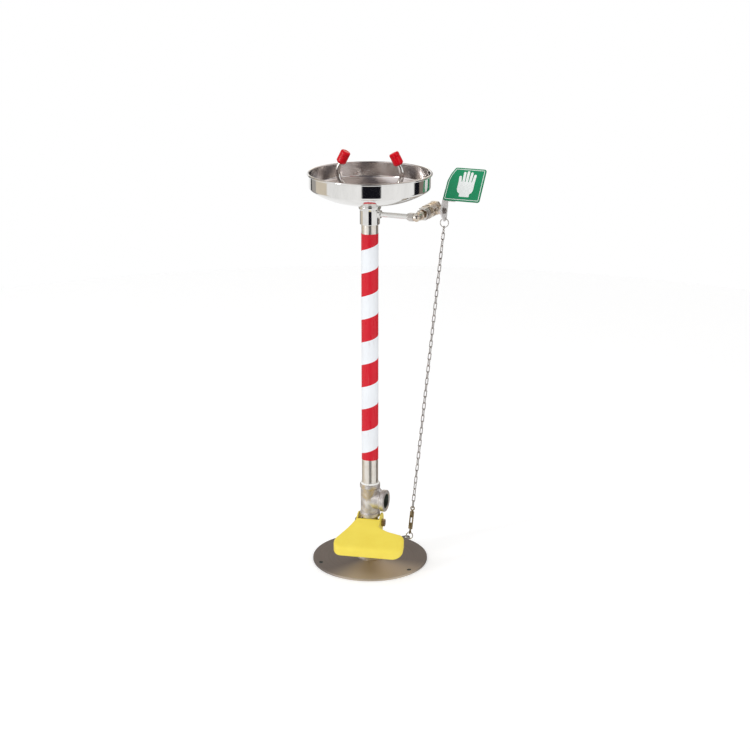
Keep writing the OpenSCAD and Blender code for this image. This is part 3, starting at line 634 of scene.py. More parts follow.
def hexagon(piece, across, height, at, bore=0.0, both=True, n=96, shade=0):
    """Nut or bolt head with the corners of one end or both turned off at 30 degrees."""
    face = across / 2 * 0.97
    turns = [2 * math.pi * i / n for i in range(n)]
    sides = [across / 2 / math.cos((t + math.pi / 6) % (math.pi / 3) - math.pi / 6) for t in turns]
    cuts = [(r - face) * math.tan(math.radians(30)) for r in sides]
    low_edge, high_edge = (
        [(r * math.cos(t), r * math.sin(t), height - cut if top else cut if both else 0)
         for t, r, cut in zip(turns, sides, cuts)] for top in (False, True))
    rings = ([level_ring(face, 0, n)] if both else []) + [low_edge, high_edge, level_ring(face, height, n)]
    if bore:
        ends = [level_ring(bore + wider, z, n)
                for wider, z in ((0.5, 0), (0, 0.5), (0, height - 0.5), (0.5, height))]
        return piece.rings(ends[1::-1] + rings + ends[:1:-1], at, closed=True, shade=shade)
    return piece.rings([[(0, 0, 0)]] + rings + [[(0, 0, height)]], at, shade=shade)


def thread(r, depth, z0, z1, pitch):
    """Profile points of a thread's crests and roots from z0 to z1."""
    count = max(1, int(abs(z1 - z0) / pitch))
    step = (z1 - z0) / count
    out = []
    for i in range(count):
        z = z0 + i * step
        out += [(r, z, 0.1), (r, z + step * 0.3, 0.1), (r - depth, z + step * 0.65, 0.1)]
    return out + [(r, z1, 0.1)]


def tube_profile(r, r_in, z0, z1, edge=0.4):
    return [(r_in, z0, edge), (r, z0, edge), (r, z1, edge), (r_in, z1, edge)]


# ---------------------------------------------------------------- base and post

POST_R = 21.1
POST_IN = 17.9
TEE_AXIS = 165.5
OUTLET_TURN = math.radians(-8)
OUTLET = place(Vector((0, 0, TEE_AXIS * MM)), Vector((math.cos(OUTLET_TURN), math.sin(OUTLET_TURN), 0)), Z)
OUTLET_BORE_R = 19.2
OUTLET_BORE_Z = (8, 44)     # from near the tee's middle to just short of its mouth
ANCHOR_CIRCLE_R = 134.0
ANCHOR_HOLE_R = 5.5
RISER_TOP = 136.0


def make_base():
    plate_r = high("base_plate").x
    plate_t = high("base_plate").z
    anchors = [(ANCHOR_CIRCLE_R * math.cos(a), ANCHOR_CIRCLE_R * math.sin(a))
               for a in (math.radians(d) for d in (90, 210, 330))]
    disc = Piece().flat([circle(0, 0, plate_r, 256)] + [circle(x, y, ANCHOR_HOLE_R) for x, y in anchors],
                        plate_t, FLOOR, 0.9)
    disc = disc.made("base_disc", "stand", [PLATE, BORE_SHADE], "satin_steel", ["base_plate"])
    to_floor = FLOOR.inverted()
    # The holes' walls get the near-black bore finish, a painted shade, so that the holes read dark
    for face in disc.data.polygons:
        x, y, _ = to_floor @ (disc.matrix_world @ face.center)
        if any(math.hypot(x - at_x, y - at_y) < ANCHOR_HOLE_R + 0.1 for at_x, at_y in anchors):
            face.material_index = 1
    top = high("floor_socket").z
    Piece().turned(
        [(POST_R + 0.05, plate_t, 0), (36, plate_t, 0), (36, plate_t + 4, 1.5), (29, plate_t + 11, 4),
         (27, top - 1, 1), (26, top, 0.6), (POST_R + 0.05, top, 0.4)],
        FLOOR).made("floor_flange", "stand", CAST, "cast_steel", ["floor_socket"])
    Piece().turned(tube_profile(POST_R, POST_IN, plate_t, RISER_TOP), FLOOR).made(
        "riser_tube", "stand", PIPE, "satin_steel", ["riser_nipple"])


def make_post():
    profile = tube_profile(POST_R, POST_IN, *heights("post_pipe"), 0.8)
    Piece().turned(profile, FLOOR, 128).made(
        "post_tube", "stand", PIPE, "satin_steel", ["post_pipe"])
    z0, z1 = heights("striped_sleeve")
    film = Piece()
    n, rows = 144, 60
    lap = math.radians(SEAM)
    rings = []
    for i in range(rows + 1):
        f = i / rows
        ring = []
        for k in range(n):
            a = 2 * math.pi * k / n
            over = 0.22 if 0 < (a - lap) % (2 * math.pi) < math.radians(26) else 0.0
            z = z0 + (z1 - z0) * f + 0.35 * math.sin(3 * a + 5 * f) * (1 if i in (0, rows) else 0)
            r = POST_R + 0.38 + over + 0.05 * math.sin(9 * a + 23 * f)
            ring.append((r * math.cos(a), r * math.sin(a), z))
        rings.append(ring)
    film_in = POST_R + 0.05
    inner = [[(x * film_in / math.hypot(x, y), y * film_in / math.hypot(x, y), z) for x, y, z in rings[end]]
             for end in (-1, 0)]
    film.rings(rings + inner, FLOOR, closed=True).made(
        "striped_film", "stand", FILM, "striped_film", ["striped_sleeve"])


def make_tee():
    tee = cast("drain_tee", "tee_casting", "stand", [CAST, BORE_SHADE], "cast_steel", 0.85, 5)
    # painted shade: the outlet's bore and its thread take the near-black bore finish
    to_outlet = OUTLET.inverted()
    for face in tee.data.polygons:
        x, y, z = to_outlet @ (tee.matrix_world @ face.center)
        if math.hypot(x, y) < OUTLET_BORE_R and OUTLET_BORE_Z[0] < z < OUTLET_BORE_Z[1]:
            face.material_index = 1
    liner = Piece().turned(
        [(19.9, 27.5, 0)] + thread(19.4, 0.9, 28, 43.5, 2.3) + [(20.2, 44.6, 0.2), (20.4, 27.5, 0)],
        OUTLET, 96)
    liner.made("outlet_thread", "stand", BORE_SHADE, "cast_steel", [], angle=50)
    bead = Piece()
    z0, z1 = heights("sealant_ring")
    n = 90
    rings = []
    for out, h in ((0.03, 0), (3.4, 0), (3.3, 0.5), (2.2, 0.86), (0.8, 1), (0.03, 0.96)):
        r = POST_R + out
        ring = []
        for k in range(n):
            a = 2 * math.pi * k / n
            lump = 0.22 * math.sin(5 * a + 1) + 0.16 * math.sin(11 * a + 2) + 0.1 * math.sin(23 * a)
            grow = r + (lump - 0.2) * (0.9 if r > POST_R + 1 else 0)
            ring.append((grow * math.cos(a), grow * math.sin(a), z0 + (z1 - z0) * h * (1.25 + 0.25 * lump)))
        rings.append(ring)
    bead.rings(rings, FLOOR, closed=True).made(
        "sealant_bead", "stand", SEALANT, "sealant", ["sealant_ring"], angle=70)


# ---------------------------------------------------------------- bowl

DRAIN_R = 20.25             # the hole in the bowl's floor
BOWL_R = 149.0
BOWL_T = 1.5
BOWL_Z, RIM_Z = heights("bowl")
BEAD_R = 3.0
BEAD_OUT = 1.6              # the bead's centre stands this far out from the wall
BEND_R = 8.0
DISH_X = 32.0
DISH_SLOPE = 33.4


def make_bowl():
    dish_r = BEND_R + (BOWL_R - BEND_R - DISH_X) / math.sin(math.radians(DISH_SLOPE))
    dish_z = BOWL_Z + dish_r
    bend_z = dish_z - (dish_r - BEND_R) * math.cos(math.radians(DISH_SLOPE))
    bend_x = BOWL_R - BEND_R
    bead_x, bead_z = BOWL_R + BEAD_OUT, RIM_Z - BEAD_R
    meet = math.degrees(math.acos(-BEAD_OUT / BEAD_R))
    outside = [(DRAIN_R, BOWL_Z)] + arc(DISH_X, dish_z, dish_r, -90, DISH_SLOPE - 90, 40)
    outside += arc(bend_x, bend_z, BEND_R, DISH_SLOPE - 90, 0, 12)[1:]
    outside += arc(bead_x, bead_z, BEAD_R, -meet, 90, 14)
    inside_line = arc(bead_x, bead_z, BEAD_R, 90, 178, 8)
    inside_line += arc(bend_x, bend_z, BEND_R - BOWL_T, 0, DISH_SLOPE - 90, 12)
    inside_line += arc(DISH_X, dish_z, dish_r - BOWL_T, DISH_SLOPE - 90, -90, 40)[1:]
    inside_line += [(DRAIN_R, BOWL_Z + BOWL_T), (DRAIN_R, BOWL_Z)]
    piece = Piece()
    piece.turned([(r, z, 0) for r, z in outside], FLOOR, 256, closed=False, shade=0)
    piece.turned([(r, z, 0) for r, z in inside_line], FLOOR, 256, closed=False, shade=1)
    piece.made("bowl_shell", "stand", [BOWL_OUT, BOWL_IN], "polished_steel", ["bowl"], angle=50)

    bottom, top = heights("drain_flange")
    floor_z = BOWL_Z + BOWL_T
    Piece().turned(
        [(16.5, bottom), (19.95, bottom), (19.95, floor_z, 0), (30, floor_z, 0.2), (29, top, 1.2),
         (25.5, top, 0.4), (25, top - 0.5, 0.3), (16.5, top - 0.5)],
        FLOOR, 128).made("waste_flange", "stand", CHROME, "polished_steel", ["drain_flange"])
    holes = [circle(0, 0, 9.1, 48)]
    for r, count in ((13, 8), (18, 12)):
        holes += [circle(x, y, 1.8, 20) for x, y, _ in level_ring(r, 0, count)]
    Piece().flat([circle(0, 0, 26, 96)] + holes, 1.5, raised(FLOOR, low("drain_strainer").z), 0.3).made(
        "waste_grid", "stand", CHROME, "polished_steel", ["drain_strainer"])
    z0, z1 = heights("bowl_collar")
    collar = Piece().turned(
        [(21.2, z0, 0.3), (24.6, z0, 0.8), (25, z0 + 1.5, 0.6), (25, 927.5, 1.5), (27.6, 931, 2.5),
         (28.5, 935.5, 2.5), (27.4, 939.2, 1), (26.3, 939.6, 0.5), (24.6, z1, 1), (20.2, z1), (20.2, 926),
         (21.2, 908, 0)],
        FLOOR, 128)
    collar.turned([(6.6, 0, 0), (10.5, 0, 0), (10.5, 29, 1), (9.5, 30, 0.5), (6.6, 30, 0.4)], on_arm(), 64)
    collar.made("collar_sleeve", "stand", CHROME, "polished_steel", ["bowl_collar"])
    z0, z1 = heights("bowl_gasket")
    Piece().turned(tube_profile(24.3, 20.3, z0, z1, 0.5), FLOOR).made(
        "bowl_seal", "stand", RUBBER, "gasket_rubber", ["bowl_gasket"])


# ---------------------------------------------------------------- spray heads

HUB_Z = 960.0
RUN_X = (9.0, 24.5)
LOW_R, LOW_TURN = 40.0, 50.0
RISE = 23.0
HIGH_R, HIGH_TURN = 41.0, 67.0
LEAD, SOCKET = 3.8, 6.5
TUBE_R = 6.0
TUBE_HOLE = 6.1             # the bore that takes a spray tube, in hub, nuts and heads
HEAD_R = 12.5
PIN_Y, PIN_Z = 14.6, 23.6


def spray_route():
    """Centre line of the right spray tube in the XZ plane, and the head's place and direction."""
    points = [Vector((RUN_X[0], 0, HUB_Z)), Vector((RUN_X[1], 0, HUB_Z))]
    heading = 0.0
    at = points[-1].copy()
    for radius, turn, ahead in ((LOW_R, LOW_TURN, RISE), (HIGH_R, HIGH_TURN, LEAD)):
        steps = 22
        for _ in range(steps):
            heading += math.radians(turn / steps / 2)
            chord = 2 * radius * math.sin(math.radians(turn / steps / 2))
            at = at + Vector((math.cos(heading), 0, math.sin(heading))) * chord
            heading += math.radians(turn / steps / 2)
            points.append(at)
        at = at + Vector((math.cos(heading), 0, math.sin(heading))) * ahead
        points.append(at)
    axis = Vector((math.cos(heading), 0, math.sin(heading)))
    head = at.copy()
    points.append(head + axis * SOCKET)
    return points, head, axis


def mirrored(v):
    return Vector((-v.x, v.y, v.z))


def make_spray():
    route, head, axis = spray_route()
    hub = Piece()
    z0, z1 = heights("spray_hub")
    hub.turned([(9.1, z0), (12.5, z0), (12.5, z1 - 3, 0.8), (9.5, z1, 1.2), (0, z1)], FLOOR, 96, closed=False)
    for side in (1, -1):
        hub.turned([(TUBE_HOLE, 8, 0), (8.2, 8, 0), (8.2, 14, 0.8), (TUBE_HOLE, 14, 0.4)],
                   FLOOR @ local((0, 0, HUB_Z), X * side, Z), 64)
    hub.made("hub_cross", "stand", CHROME, "polished_steel", ["spray_hub"])
    nuts = Piece()
    for side in (1, -1):
        hexagon(nuts, 17, 8, FLOOR @ local((14 * side, 0, HUB_Z), X * side, Y), TUBE_HOLE)
    nuts.made("hub_nuts", "stand", CHROME, "polished_steel", ["tube_nuts"])

    for side, name in ((1, "right"), (-1, "left")):
        line = route if side == 1 else [mirrored(p) for p in route]
        direction = axis if side == 1 else mirrored(axis)
        where = head if side == 1 else mirrored(head)
        across = Vector((direction.z, 0, -direction.x))
        Piece().swept(line, TUBE_R, FLOOR, 40).made(
            "spray_tube_bent_" + name, "stand", CHROME, "polished_steel", ["spray_tube_" + name], angle=50)
        at = FLOOR @ local(where, direction, across)
        body = Piece()
        body.turned(
            [(TUBE_HOLE, 0, 0.3), (8.4, 0, 0.8), (9.2, 0.8, 0.4), (HEAD_R, 4.2, 1.6), (HEAD_R, 21.6, 0.3),
             (HEAD_R - 0.5, 22, 0.3), (HEAD_R - 0.5, 22.9, 0.2), (11.05, 22.9, 0.3), (11.05, 9),
             (TUBE_HOLE, 9)], at, 96)
        ear = rounded([(11.4, 12), (HEAD_R, 11), (PIN_Y + 2.1, PIN_Z - 4), (PIN_Y + 2.1, PIN_Z + 1.9),
                       (PIN_Y - 2.1, PIN_Z + 1.9), (PIN_Y - 2.4, 22.6), (11.4, 22.6)],
                      [0, 2, 3, 2, 2, 0.3, 0], 5)
        for x0 in (-4.3, 2.3):
            body.flat([ear], 2.0, at @ local((x0, 0, 0), X, Y), 0.25)
        body.made("spray_cup_" + name, "stand", RED, "red_plastic", ["spray_body_" + name])
        cover = Piece()
        top = 33.0
        cover.turned([(11.1, 23.3, 0.2), (HEAD_R, 23.3, 0.4), (HEAD_R, top - 3, 1.6),
                      (HEAD_R - 2.4, top, 1.6), (5.4, top, 0.4), (5.0, top - 0.5, 0.3), (0, top - 0.5),
                      (0, top - 2.2), (11.1, top - 2.8, 0.6)], at, 96)
        cover.turned([(0, -2), (2.05, -2, 0.4), (2.05, 2, 0.4), (0, 2)],
                     at @ local((0, PIN_Y, PIN_Z), X, Y), 32)
        knuckle = rounded([(11.3, PIN_Z), (PIN_Y, PIN_Z - 0.6), (PIN_Y + 2, PIN_Z), (PIN_Y + 1.6, PIN_Z + 2),
                           (HEAD_R - 0.2, PIN_Z + 6.2), (11.3, PIN_Z + 6.2)], [0, 1, 1, 1, 2, 0], 4)
        cover.flat([knuckle], 4, at @ local((-2, 0, 0), X, Y), 0.3)
        thumb = rounded([(-3.2, -HEAD_R - 0.9), (3.2, -HEAD_R - 0.9), (4.6, -HEAD_R + 2),
                         (-4.6, -HEAD_R + 2)], [0.8, 0.8, 0, 0], 4)
        cover.flat([thumb], 1.6, raised(at, 23.5), 0.35)
        cover.made("spray_lid_" + name, "cover_" + name, RED, "red_plastic", ["dust_cover_" + name])


# ---------------------------------------------------------------- supply arm and valve

VALVE_X = 123.0
VALVE_Y = 100.0
LEVER_X = 28.5
LEVER_T = 3.0
SIGN_LEAN = math.radians(37)
SIGN_W, SIGN_H = 95.0, 91.0
SIGN_T = 2.0
SIGN_AT = (VALVE_X + LEVER_X + 1.5, VALVE_Y, 27.0)
RIVETS = ((11, 13), (28, 13))
NUT_X = VALVE_X - 19        # where the supply pipe's nut starts
CAP_Y = 118                 # where the valve's end cap starts
GLAND_X = VALVE_X + 22      # where the stem's gland nut starts


def on_valve(y):
    """Frame on the valve's own line, y back from the supply arm, towards the inlet."""
    return on_arm(VALVE_X, y, 0, ARM_Y, Z)


def make_arm():
    Piece().turned(tube_profile(6.5, 5, 6, VALVE_X - 4), on_arm(), 64).made(
        "supply_tube", "stand", CHROME, "bright_steel", ["supply_pipe"])
    nut = hexagon(Piece(), 19, 13, on_arm(NUT_X), 6.6)
    nut.turned(tube_profile(8.6, 6.6, -4, 0.4, 0.6), on_arm(NUT_X), 64)
    nut.made("supply_nut", "stand", BRIGHT, "bright_steel", ["pipe_nut"])
    cast("elbow", "elbow_forging", "stand", NICKEL, "nickel_brass", 0.5, 6)
    Piece().turned(tube_profile(8, 6, 22, 46), on_valve(0), 64).made(
        "union_stub", "stand", NICKEL, "nickel_brass", ["union_tail"])
    hexagon(Piece(), 29, 20, on_valve(38), 8.1).made(
        "union_ring", "stand", BRIGHT, "nickel_brass", ["union_nut"])
    cast("valve_body", "valve_forging", "stand", NICKEL, "nickel_brass", 0.6, 5)
    cap_at = on_valve(CAP_Y)
    inlet_thread = [(10.4, 1.2, 0), (9.9, 1.2, 0)] + thread(9.9, 0.8, 1.4, 12.2, 1.8) + [(10.4, 12.4, 0)]
    cap = hexagon(Piece(), 32, 13, cap_at, 10.2).turned(inlet_thread, cap_at, 64)
    cap.turned(tube_profile(12.9, 6, -4, 1.4), cap_at, 48).made(
        "valve_cap", "stand", NICKEL, "nickel_brass", ["valve_end"])
    gland_at = on_arm(GLAND_X, VALVE_Y)
    gland = hexagon(Piece(), 17, 5.4, gland_at, 4.1)
    gland.turned(tube_profile(6.4, 4.1, -0.5, 0.4, 0), gland_at, 48).made(
        "gland_ring", "stand", NICKEL, "nickel_brass", ["gland_nut"])


def clipped(outline, at, normal):
    """Part of an outline on the side of the line through at that its normal points to."""
    out = []
    at, normal = Vector(at), Vector(normal)
    for i, p in enumerate(outline):
        a, b = Vector(outline[i - 1]), Vector(p)
        da, db = (a - at).dot(normal), (b - at).dot(normal)
        if (da < 0) != (db < 0):
            out.append(tuple(a + (b - a) * (da / (da - db))))
        if db >= 0:
            out.append(tuple(b))
    return out


def hand_outline():
    """A generic open hand, in the sign's own frame."""
    palm_l, palm_r, root = 29.8, 71.8, 53.0
    tips = [(31.9, 69), (41.6, 80.5), (50.8, 83), (60.4, 80.5), (69.6, 75)]
    count = len(tips)
    pitch = (palm_r - palm_l) / count
    out = [(38.6, 12.4), (64.5, 12.4), (64.5, 20.5), (69.5, 25), (palm_r, 32)]
    for i in range(count - 1, -1, -1):
        right = palm_l + pitch * (i + 1) - (0.75 if i < count - 1 else 0)
        left = palm_l + pitch * i + (0.75 if i > 0 else 0)
        u, v = tips[i]
        half = 3.3
        cap = arc(u, v - half, half, -8, 188, 10)
        out += [(right, root)] + cap + [(left, root)]
    return out + [(palm_l, 32), (32.5, 25), (38.6, 20.5)]


def make_handle():
    plate_at = on_arm(VALVE_X + LEVER_X, VALVE_Y)
    face = (-math.cos(SIGN_LEAN), math.sin(SIGN_LEAN))
    edge = rounded([(-13, 25), (0, 30), (17, 50), (24, 48), (38, 22), (36, 8), (27, -29.5), (9, -29.5),
                    (-12, -7)], [4, 1, 3, 4, 8, 12, 8, 8, 8])
    edge = clipped(edge, Vector((0, 27)) - Vector(face) * SIGN_T, -Vector(face))
    # The flat shape's own x is the lever's height, so the outline turns a quarter
    turned_edge = [(z, -y) for y, z in edge]
    holes = [[(z, -y) for y, z in circle(0, 0, 4.05, 32)],
             [(z, -y) for y, z in circle(18, -22, 3.2, 32)]]
    lever = Piece().flat([turned_edge[::-1]] + holes, LEVER_T, plate_at, 0.45)
    sign = sign_frame()
    tab = rounded([(-1.5, -1), (34.5, -1), (34.5, 25), (-1.5, 25)], [0, 5, 5, 0])
    rivet_holes = [circle(x, y, 2.0, 20) for x, y in RIVETS]
    lever.flat([tab] + rivet_holes, LEVER_T, raised(sign, -SIGN_T - LEVER_T), 0.45)
    lever.made("lever_strap", "handle", SATIN, "satin_steel", ["lever_plate"])
    end = on_arm(VALVE_X + LEVER_X + LEVER_T, VALVE_Y)
    Piece().turned(tube_profile(8, 4.05, 0, 1.4, 0.35), end, 64).made(
        "lever_ring", "handle", BRIGHT, "bright_steel", ["lever_washer"])
    hexagon(Piece(), 13, 5.6, on_arm(VALVE_X + LEVER_X + LEVER_T + 1.4, VALVE_Y), 4.05).made(
        "lever_nut", "handle", DARK, "bright_steel", ["stem_nut"])


def sign_frame():
    """Frame of the push sign's face: x along its lower edge, y up its slope."""
    up = ARM_Y * math.sin(SIGN_LEAN) + Z * math.cos(SIGN_LEAN)
    return place(on_arm(*SIGN_AT).translation, ARM_X.cross(up), ARM_X)


def make_sign():
    at = sign_frame()
    outline = rounded([(0, 0), (SIGN_W, 0), (SIGN_W, SIGN_H), (15, SIGN_H), (6, SIGN_H - 17),
                       (0, SIGN_H - 38)], [6, 6, 6, 7, 40, 40], 10)
    Piece().flat([outline], SIGN_T, raised(at, -SIGN_T), 0.5).made(
        "sign_panel", "handle", GREEN, "green_enamel", ["sign_plate"])
    label = Piece()
    label.flat([inset(outline, 0.9)], 0.22, at, 0.08, shade=0)
    for print_lines in ([inset(outline, 3.6), inset(outline, 5.0)[::-1]], [rounded(hand_outline(), 1.0, 3)]):
        label.flat(print_lines, 0.06, raised(at, 0.215), 0.02, shade=1)
    label.made("sign_print", "handle", [PRINT_GREEN, PRINT_WHITE], "sign_print", ["sign_label"])
    rivets = Piece()
    for x, y in RIVETS:
        back = at @ local((x, y, -SIGN_T - LEVER_T), -Z, X)
        rivets.turned([(0, -4.8), (1.95, -4.8), (1.95, 0.1, 0), (3.9, 0.1, 0.2), (3.4, 1.0, 0.8),
                       (1.8, 1.7, 0.8), (0, 1.7)], back, 40, closed=False)
    rivets.made("sign_studs", "handle", BRIGHT, "bright_steel", ["sign_rivets"])


# ---------------------------------------------------------------- chain

LINKS = 45
LINK_L, LINK_W, LINK_WIRE = 21.4, 9.5, 2.6
PULL_R, PULL_WIRE = 10.8, 1.2
END_R, END_WIRE = 8.6, 1.4
EYE_R, EYE_WIRE = 4.6, 1.6
BUCKLE_L, BUCKLE_GAP = 46.0, 8.0
BUCKLE_TWIST = math.radians(25)     # the seen body stands this far round from the CAD one
CHAIN_END = Vector((0.1125, -0.047, 0.083))


def smooth(t):
    t = max(0.0, min(1.0, t))
    return t * t * (3 - 2 * t)


def chain_frame():
    """Frame whose z runs down the chain from the handle's ring hole, and the chain's length."""
    top = joint_pos("chain_turn")
    down = CHAIN_END - top
    return place(top, down, ARM_X), down.length / MM


def oval(length, width, wire, n=10):
    """Centre line of a link in the XZ plane, from its upper wire's centre downwards."""
    half = (width - wire) / 2
    span = length - wire - 2 * half
    turns = [math.pi * i / n for i in range(n + 1)]
    upper = [(half * math.cos(a), 0, half - half * math.sin(a)) for a in turns]
    return upper + [(-half * math.cos(a), 0, half + span + half * math.sin(a)) for a in turns]


def make_chain():
    at, length = chain_frame()
    ring_s = 3.2 - PULL_WIRE - 0.4 + PULL_R
    first = ring_s + PULL_R - PULL_WIRE - LINK_WIRE / 2 - 0.1
    lower_eye = length - 2 * END_R + END_WIRE + EYE_WIRE + 0.1 - EYE_R
    buckle = lower_eye - BUCKLE_GAP - BUCKLE_L
    upper_eye = buckle - BUCKLE_GAP
    last = upper_eye - EYE_R + LINK_WIRE / 2 + EYE_WIRE + 0.1 - (LINK_L - LINK_WIRE)
    pitch = (last - first) / (LINKS - 1)

    Piece().swept(ring_path(PULL_R, 72), PULL_WIRE, raised(at, ring_s), 20, loop=True).made(
        "pull_loop", "chain", BRIGHT, "bright_steel", ["pull_ring"], angle=60)
    links = Piece()
    for i in range(LINKS):
        slack = smooth(min(i, LINKS - 1 - i) / 5)
        twist = math.radians((90 if i % 2 == 0 else 0) + 42 * slack + 6 * math.sin(2.3 * i))
        link_at = raised(at, first + i * pitch) @ Matrix.Rotation(twist, 4, "Z")
        links.swept(oval(LINK_L, LINK_W, LINK_WIRE), LINK_WIRE / 2, link_at, 14, loop=True)
    links.made("chain_links", "chain", CHAIN_STEEL, "bright_steel", ["chain"], angle=60)

    rod_end = 24 - EYE_R
    rod = [(0, 1.0), (2.35, 1.0, 0.3), (2.35, 6, 0)] + thread(2.35, 0.35, 6.4, rod_end, 0.9) + [(0, rod_end)]
    for name, s, sense, turn, node in (("eye_upper", upper_eye, Z, 0, "turnbuckle_upper_eye"),
                                       ("eye_lower", lower_eye, -Z, 90, "turnbuckle_lower_eye")):
        eye_at = raised(at, s) @ Matrix.Rotation(math.radians(turn), 4, "Z")
        piece = Piece().swept(ring_path(EYE_R, 40), EYE_WIRE, eye_at, 20, loop=True)
        piece.turned(rod, eye_at @ local(sense * EYE_R, sense, X), 24, 0.2, closed=False)
        piece.made(name, "chain", BUCKLE, "nickel_brass", [node], angle=50)
    buckle_body = cast("turnbuckle_body", "buckle_forging", "turnbuckle", BUCKLE, "nickel_brass", 0.4, 4)
    buckle_body.data.transform(at @ Matrix.Rotation(BUCKLE_TWIST, 4, "Z") @ at.inverted())
    Piece().swept(ring_path(END_R, 60), END_WIRE, raised(at, length - END_R), 20, loop=True).made(
        "pedal_loop", "chain", BRIGHT, "bright_steel", ["lower_ring"], angle=60)


# ---------------------------------------------------------------- pedal

HINGE_Z = joint_pos("pedal_turn").z / MM
TREAD_Z = 124.6
TREAD_SLOPE = math.tan(math.radians(25))
LIP = 22.0
SHEET = 2.5
BEND = 6.5
TREAD_GRID = 4.0            # between the tread's inner mesh points
EDGE_CLEAR = 2.2            # between them and its edge
EAR_X, EAR_T, EAR_R = 28.5, 3.0, 26.0
NECK_Y = (-66.0, -24.0)
NECK_Z = 119.5
NECK_X = EAR_X + EAR_T
NUT_T = 5.0


def tread_height(x, y):
    """Height of the pedal's upper skin: the sloping tread and the steeper neck that runs out of it."""
    plane = TREAD_Z + TREAD_SLOPE * y
    rise = (NECK_Z - (TREAD_Z + TREAD_SLOPE * NECK_Y[1])) / (NECK_Y[1] - NECK_Y[0])
    over = max(0.0, y - NECK_Y[0])
    soft = over * over / (over + 10) if over > 0 else 0.0
    fade = 1 - smooth((abs(x) - NECK_X + 3) / 26)
    return plane + rise * soft * 1.19 * fade


def make_pedal():
    corners = [(-NECK_X, NECK_Y[1]), (-37, -28.5), (-96, -113), (105, -113), (103, -59), (60, -50),
               (NECK_X, -40), (NECK_X, NECK_Y[1])]
    outline = rounded(corners, [0, 12, 22, 26, 18, 60, 8, 0], 12)
    fine = []
    for a, b in zip(outline, outline[1:]):
        steps = max(1, int((Vector(b) - Vector(a)).length / 3.0))
        fine += [tuple(Vector(a).lerp(Vector(b), k / steps)) for k in range(steps)]
    fine.append(outline[-1])
    count = len(fine)

    def moved(d):
        out = []
        for i, p in enumerate(fine):
            p = Vector(p)
            a = Vector(fine[max(i - 1, 0)])
            b = Vector(fine[min(i + 1, count - 1)])
            t = (b - a).normalized()
            n = Vector((-t.y, t.x))
            if i in (0, count - 1):
                n = Vector((1, 0)) if i == 0 else Vector((-1, 0))
            out.append(p + n * d)
        return out

    skin = Piece()
    rows = [(0, -LIP), (0, -LIP * 0.66), (0, -LIP * 0.4), (0, -BEND)]
    rows += [(BEND * (1 - math.cos(a)), -BEND * (1 - math.sin(a)))
             for a in (math.radians(d) for d in range(11, 91, 11))]
    rings = []
    for d, drop in rows:
        line = moved(d)
        rings.append([(p.x, p.y, tread_height(p.x, p.y) + drop) for p in line])
    skin.rings(rings, FLOOR, around=False)

    edge = [(p[0], p[1]) for p in rings[-1]]
    back = [(NECK_X - BEND - (2 * NECK_X - 2 * BEND) * k / 18, NECK_Y[1]) for k in range(1, 18)]
    boundary = edge + back
    points = [Vector(p) for p in boundary]
    for i in range(-26, 28):
        for j in range(-29, -5):
            p = Vector((i * TREAD_GRID, j * TREAD_GRID + 1.0))
            if inside(p, boundary) and min((p - q).length for q in points[:len(boundary)]) > EDGE_CLEAR:
                points.append(p)
    loop = list(range(len(boundary)))
    verts, _, faces, *_ = geometry.delaunay_2d_cdt(points, [], [loop], 1, 1e-4)
    made = [skin.bm.verts.new(FLOOR @ Vector((v.x, v.y, tread_height(v.x, v.y)))) for v in verts]
    for face in faces:
        skin.bm.faces.new([made[i] for i in face])
    bmesh.ops.remove_doubles(skin.bm, verts=skin.bm.verts, dist=3e-5)
    bmesh.ops.recalc_face_normals(skin.bm, faces=skin.bm.faces)
    up = sum(f.normal.z * f.calc_area() for f in skin.bm.faces)
    if up < 0:
        bmesh.ops.reverse_faces(skin.bm, faces=skin.bm.faces)
    holder = linked("skin", bpy.data.meshes.new("skin"))
    skin.bm.to_mesh(holder.data)
    skin.bm.free()
    mesh = modified(
        holder,
        ("SOLIDIFY", {"thickness": SHEET * MM, "offset": -1.0, "use_even_offset": True,
                      "use_quality_normals": True}),
        ("BEVEL", {"width": 0.5 * MM, "segments": 2, "limit_method": "ANGLE",
                   "angle_limit": math.radians(60)}),
    )
    bpy.data.objects.remove(holder)
    pedal = Piece().add(mesh)
    cheek = [(-40, 86), (-32, 80)] + arc(0, HINGE_Z, EAR_R, -132, 96, 40)
    cheek = rounded(cheek + [(-12, 126.5), (-24, NECK_Z - 0.6), (-40, 108)], 1.5, 2)
    for x0 in (-NECK_X + 0.25, EAR_X - 0.25):
        pedal.flat([cheek, circle(0, HINGE_Z, 8, 40)], EAR_T,
                   FLOOR @ local((x0, 0, 0), X, Y), 0.6)
    pedal.made("pedal_tread", "pedal", YELLOW, "yellow_paint", ["pedal"], angle=40)
    machined("pedal_arm", "pedal_lug", "pedal", DARK, "dark_steel", 0.4)


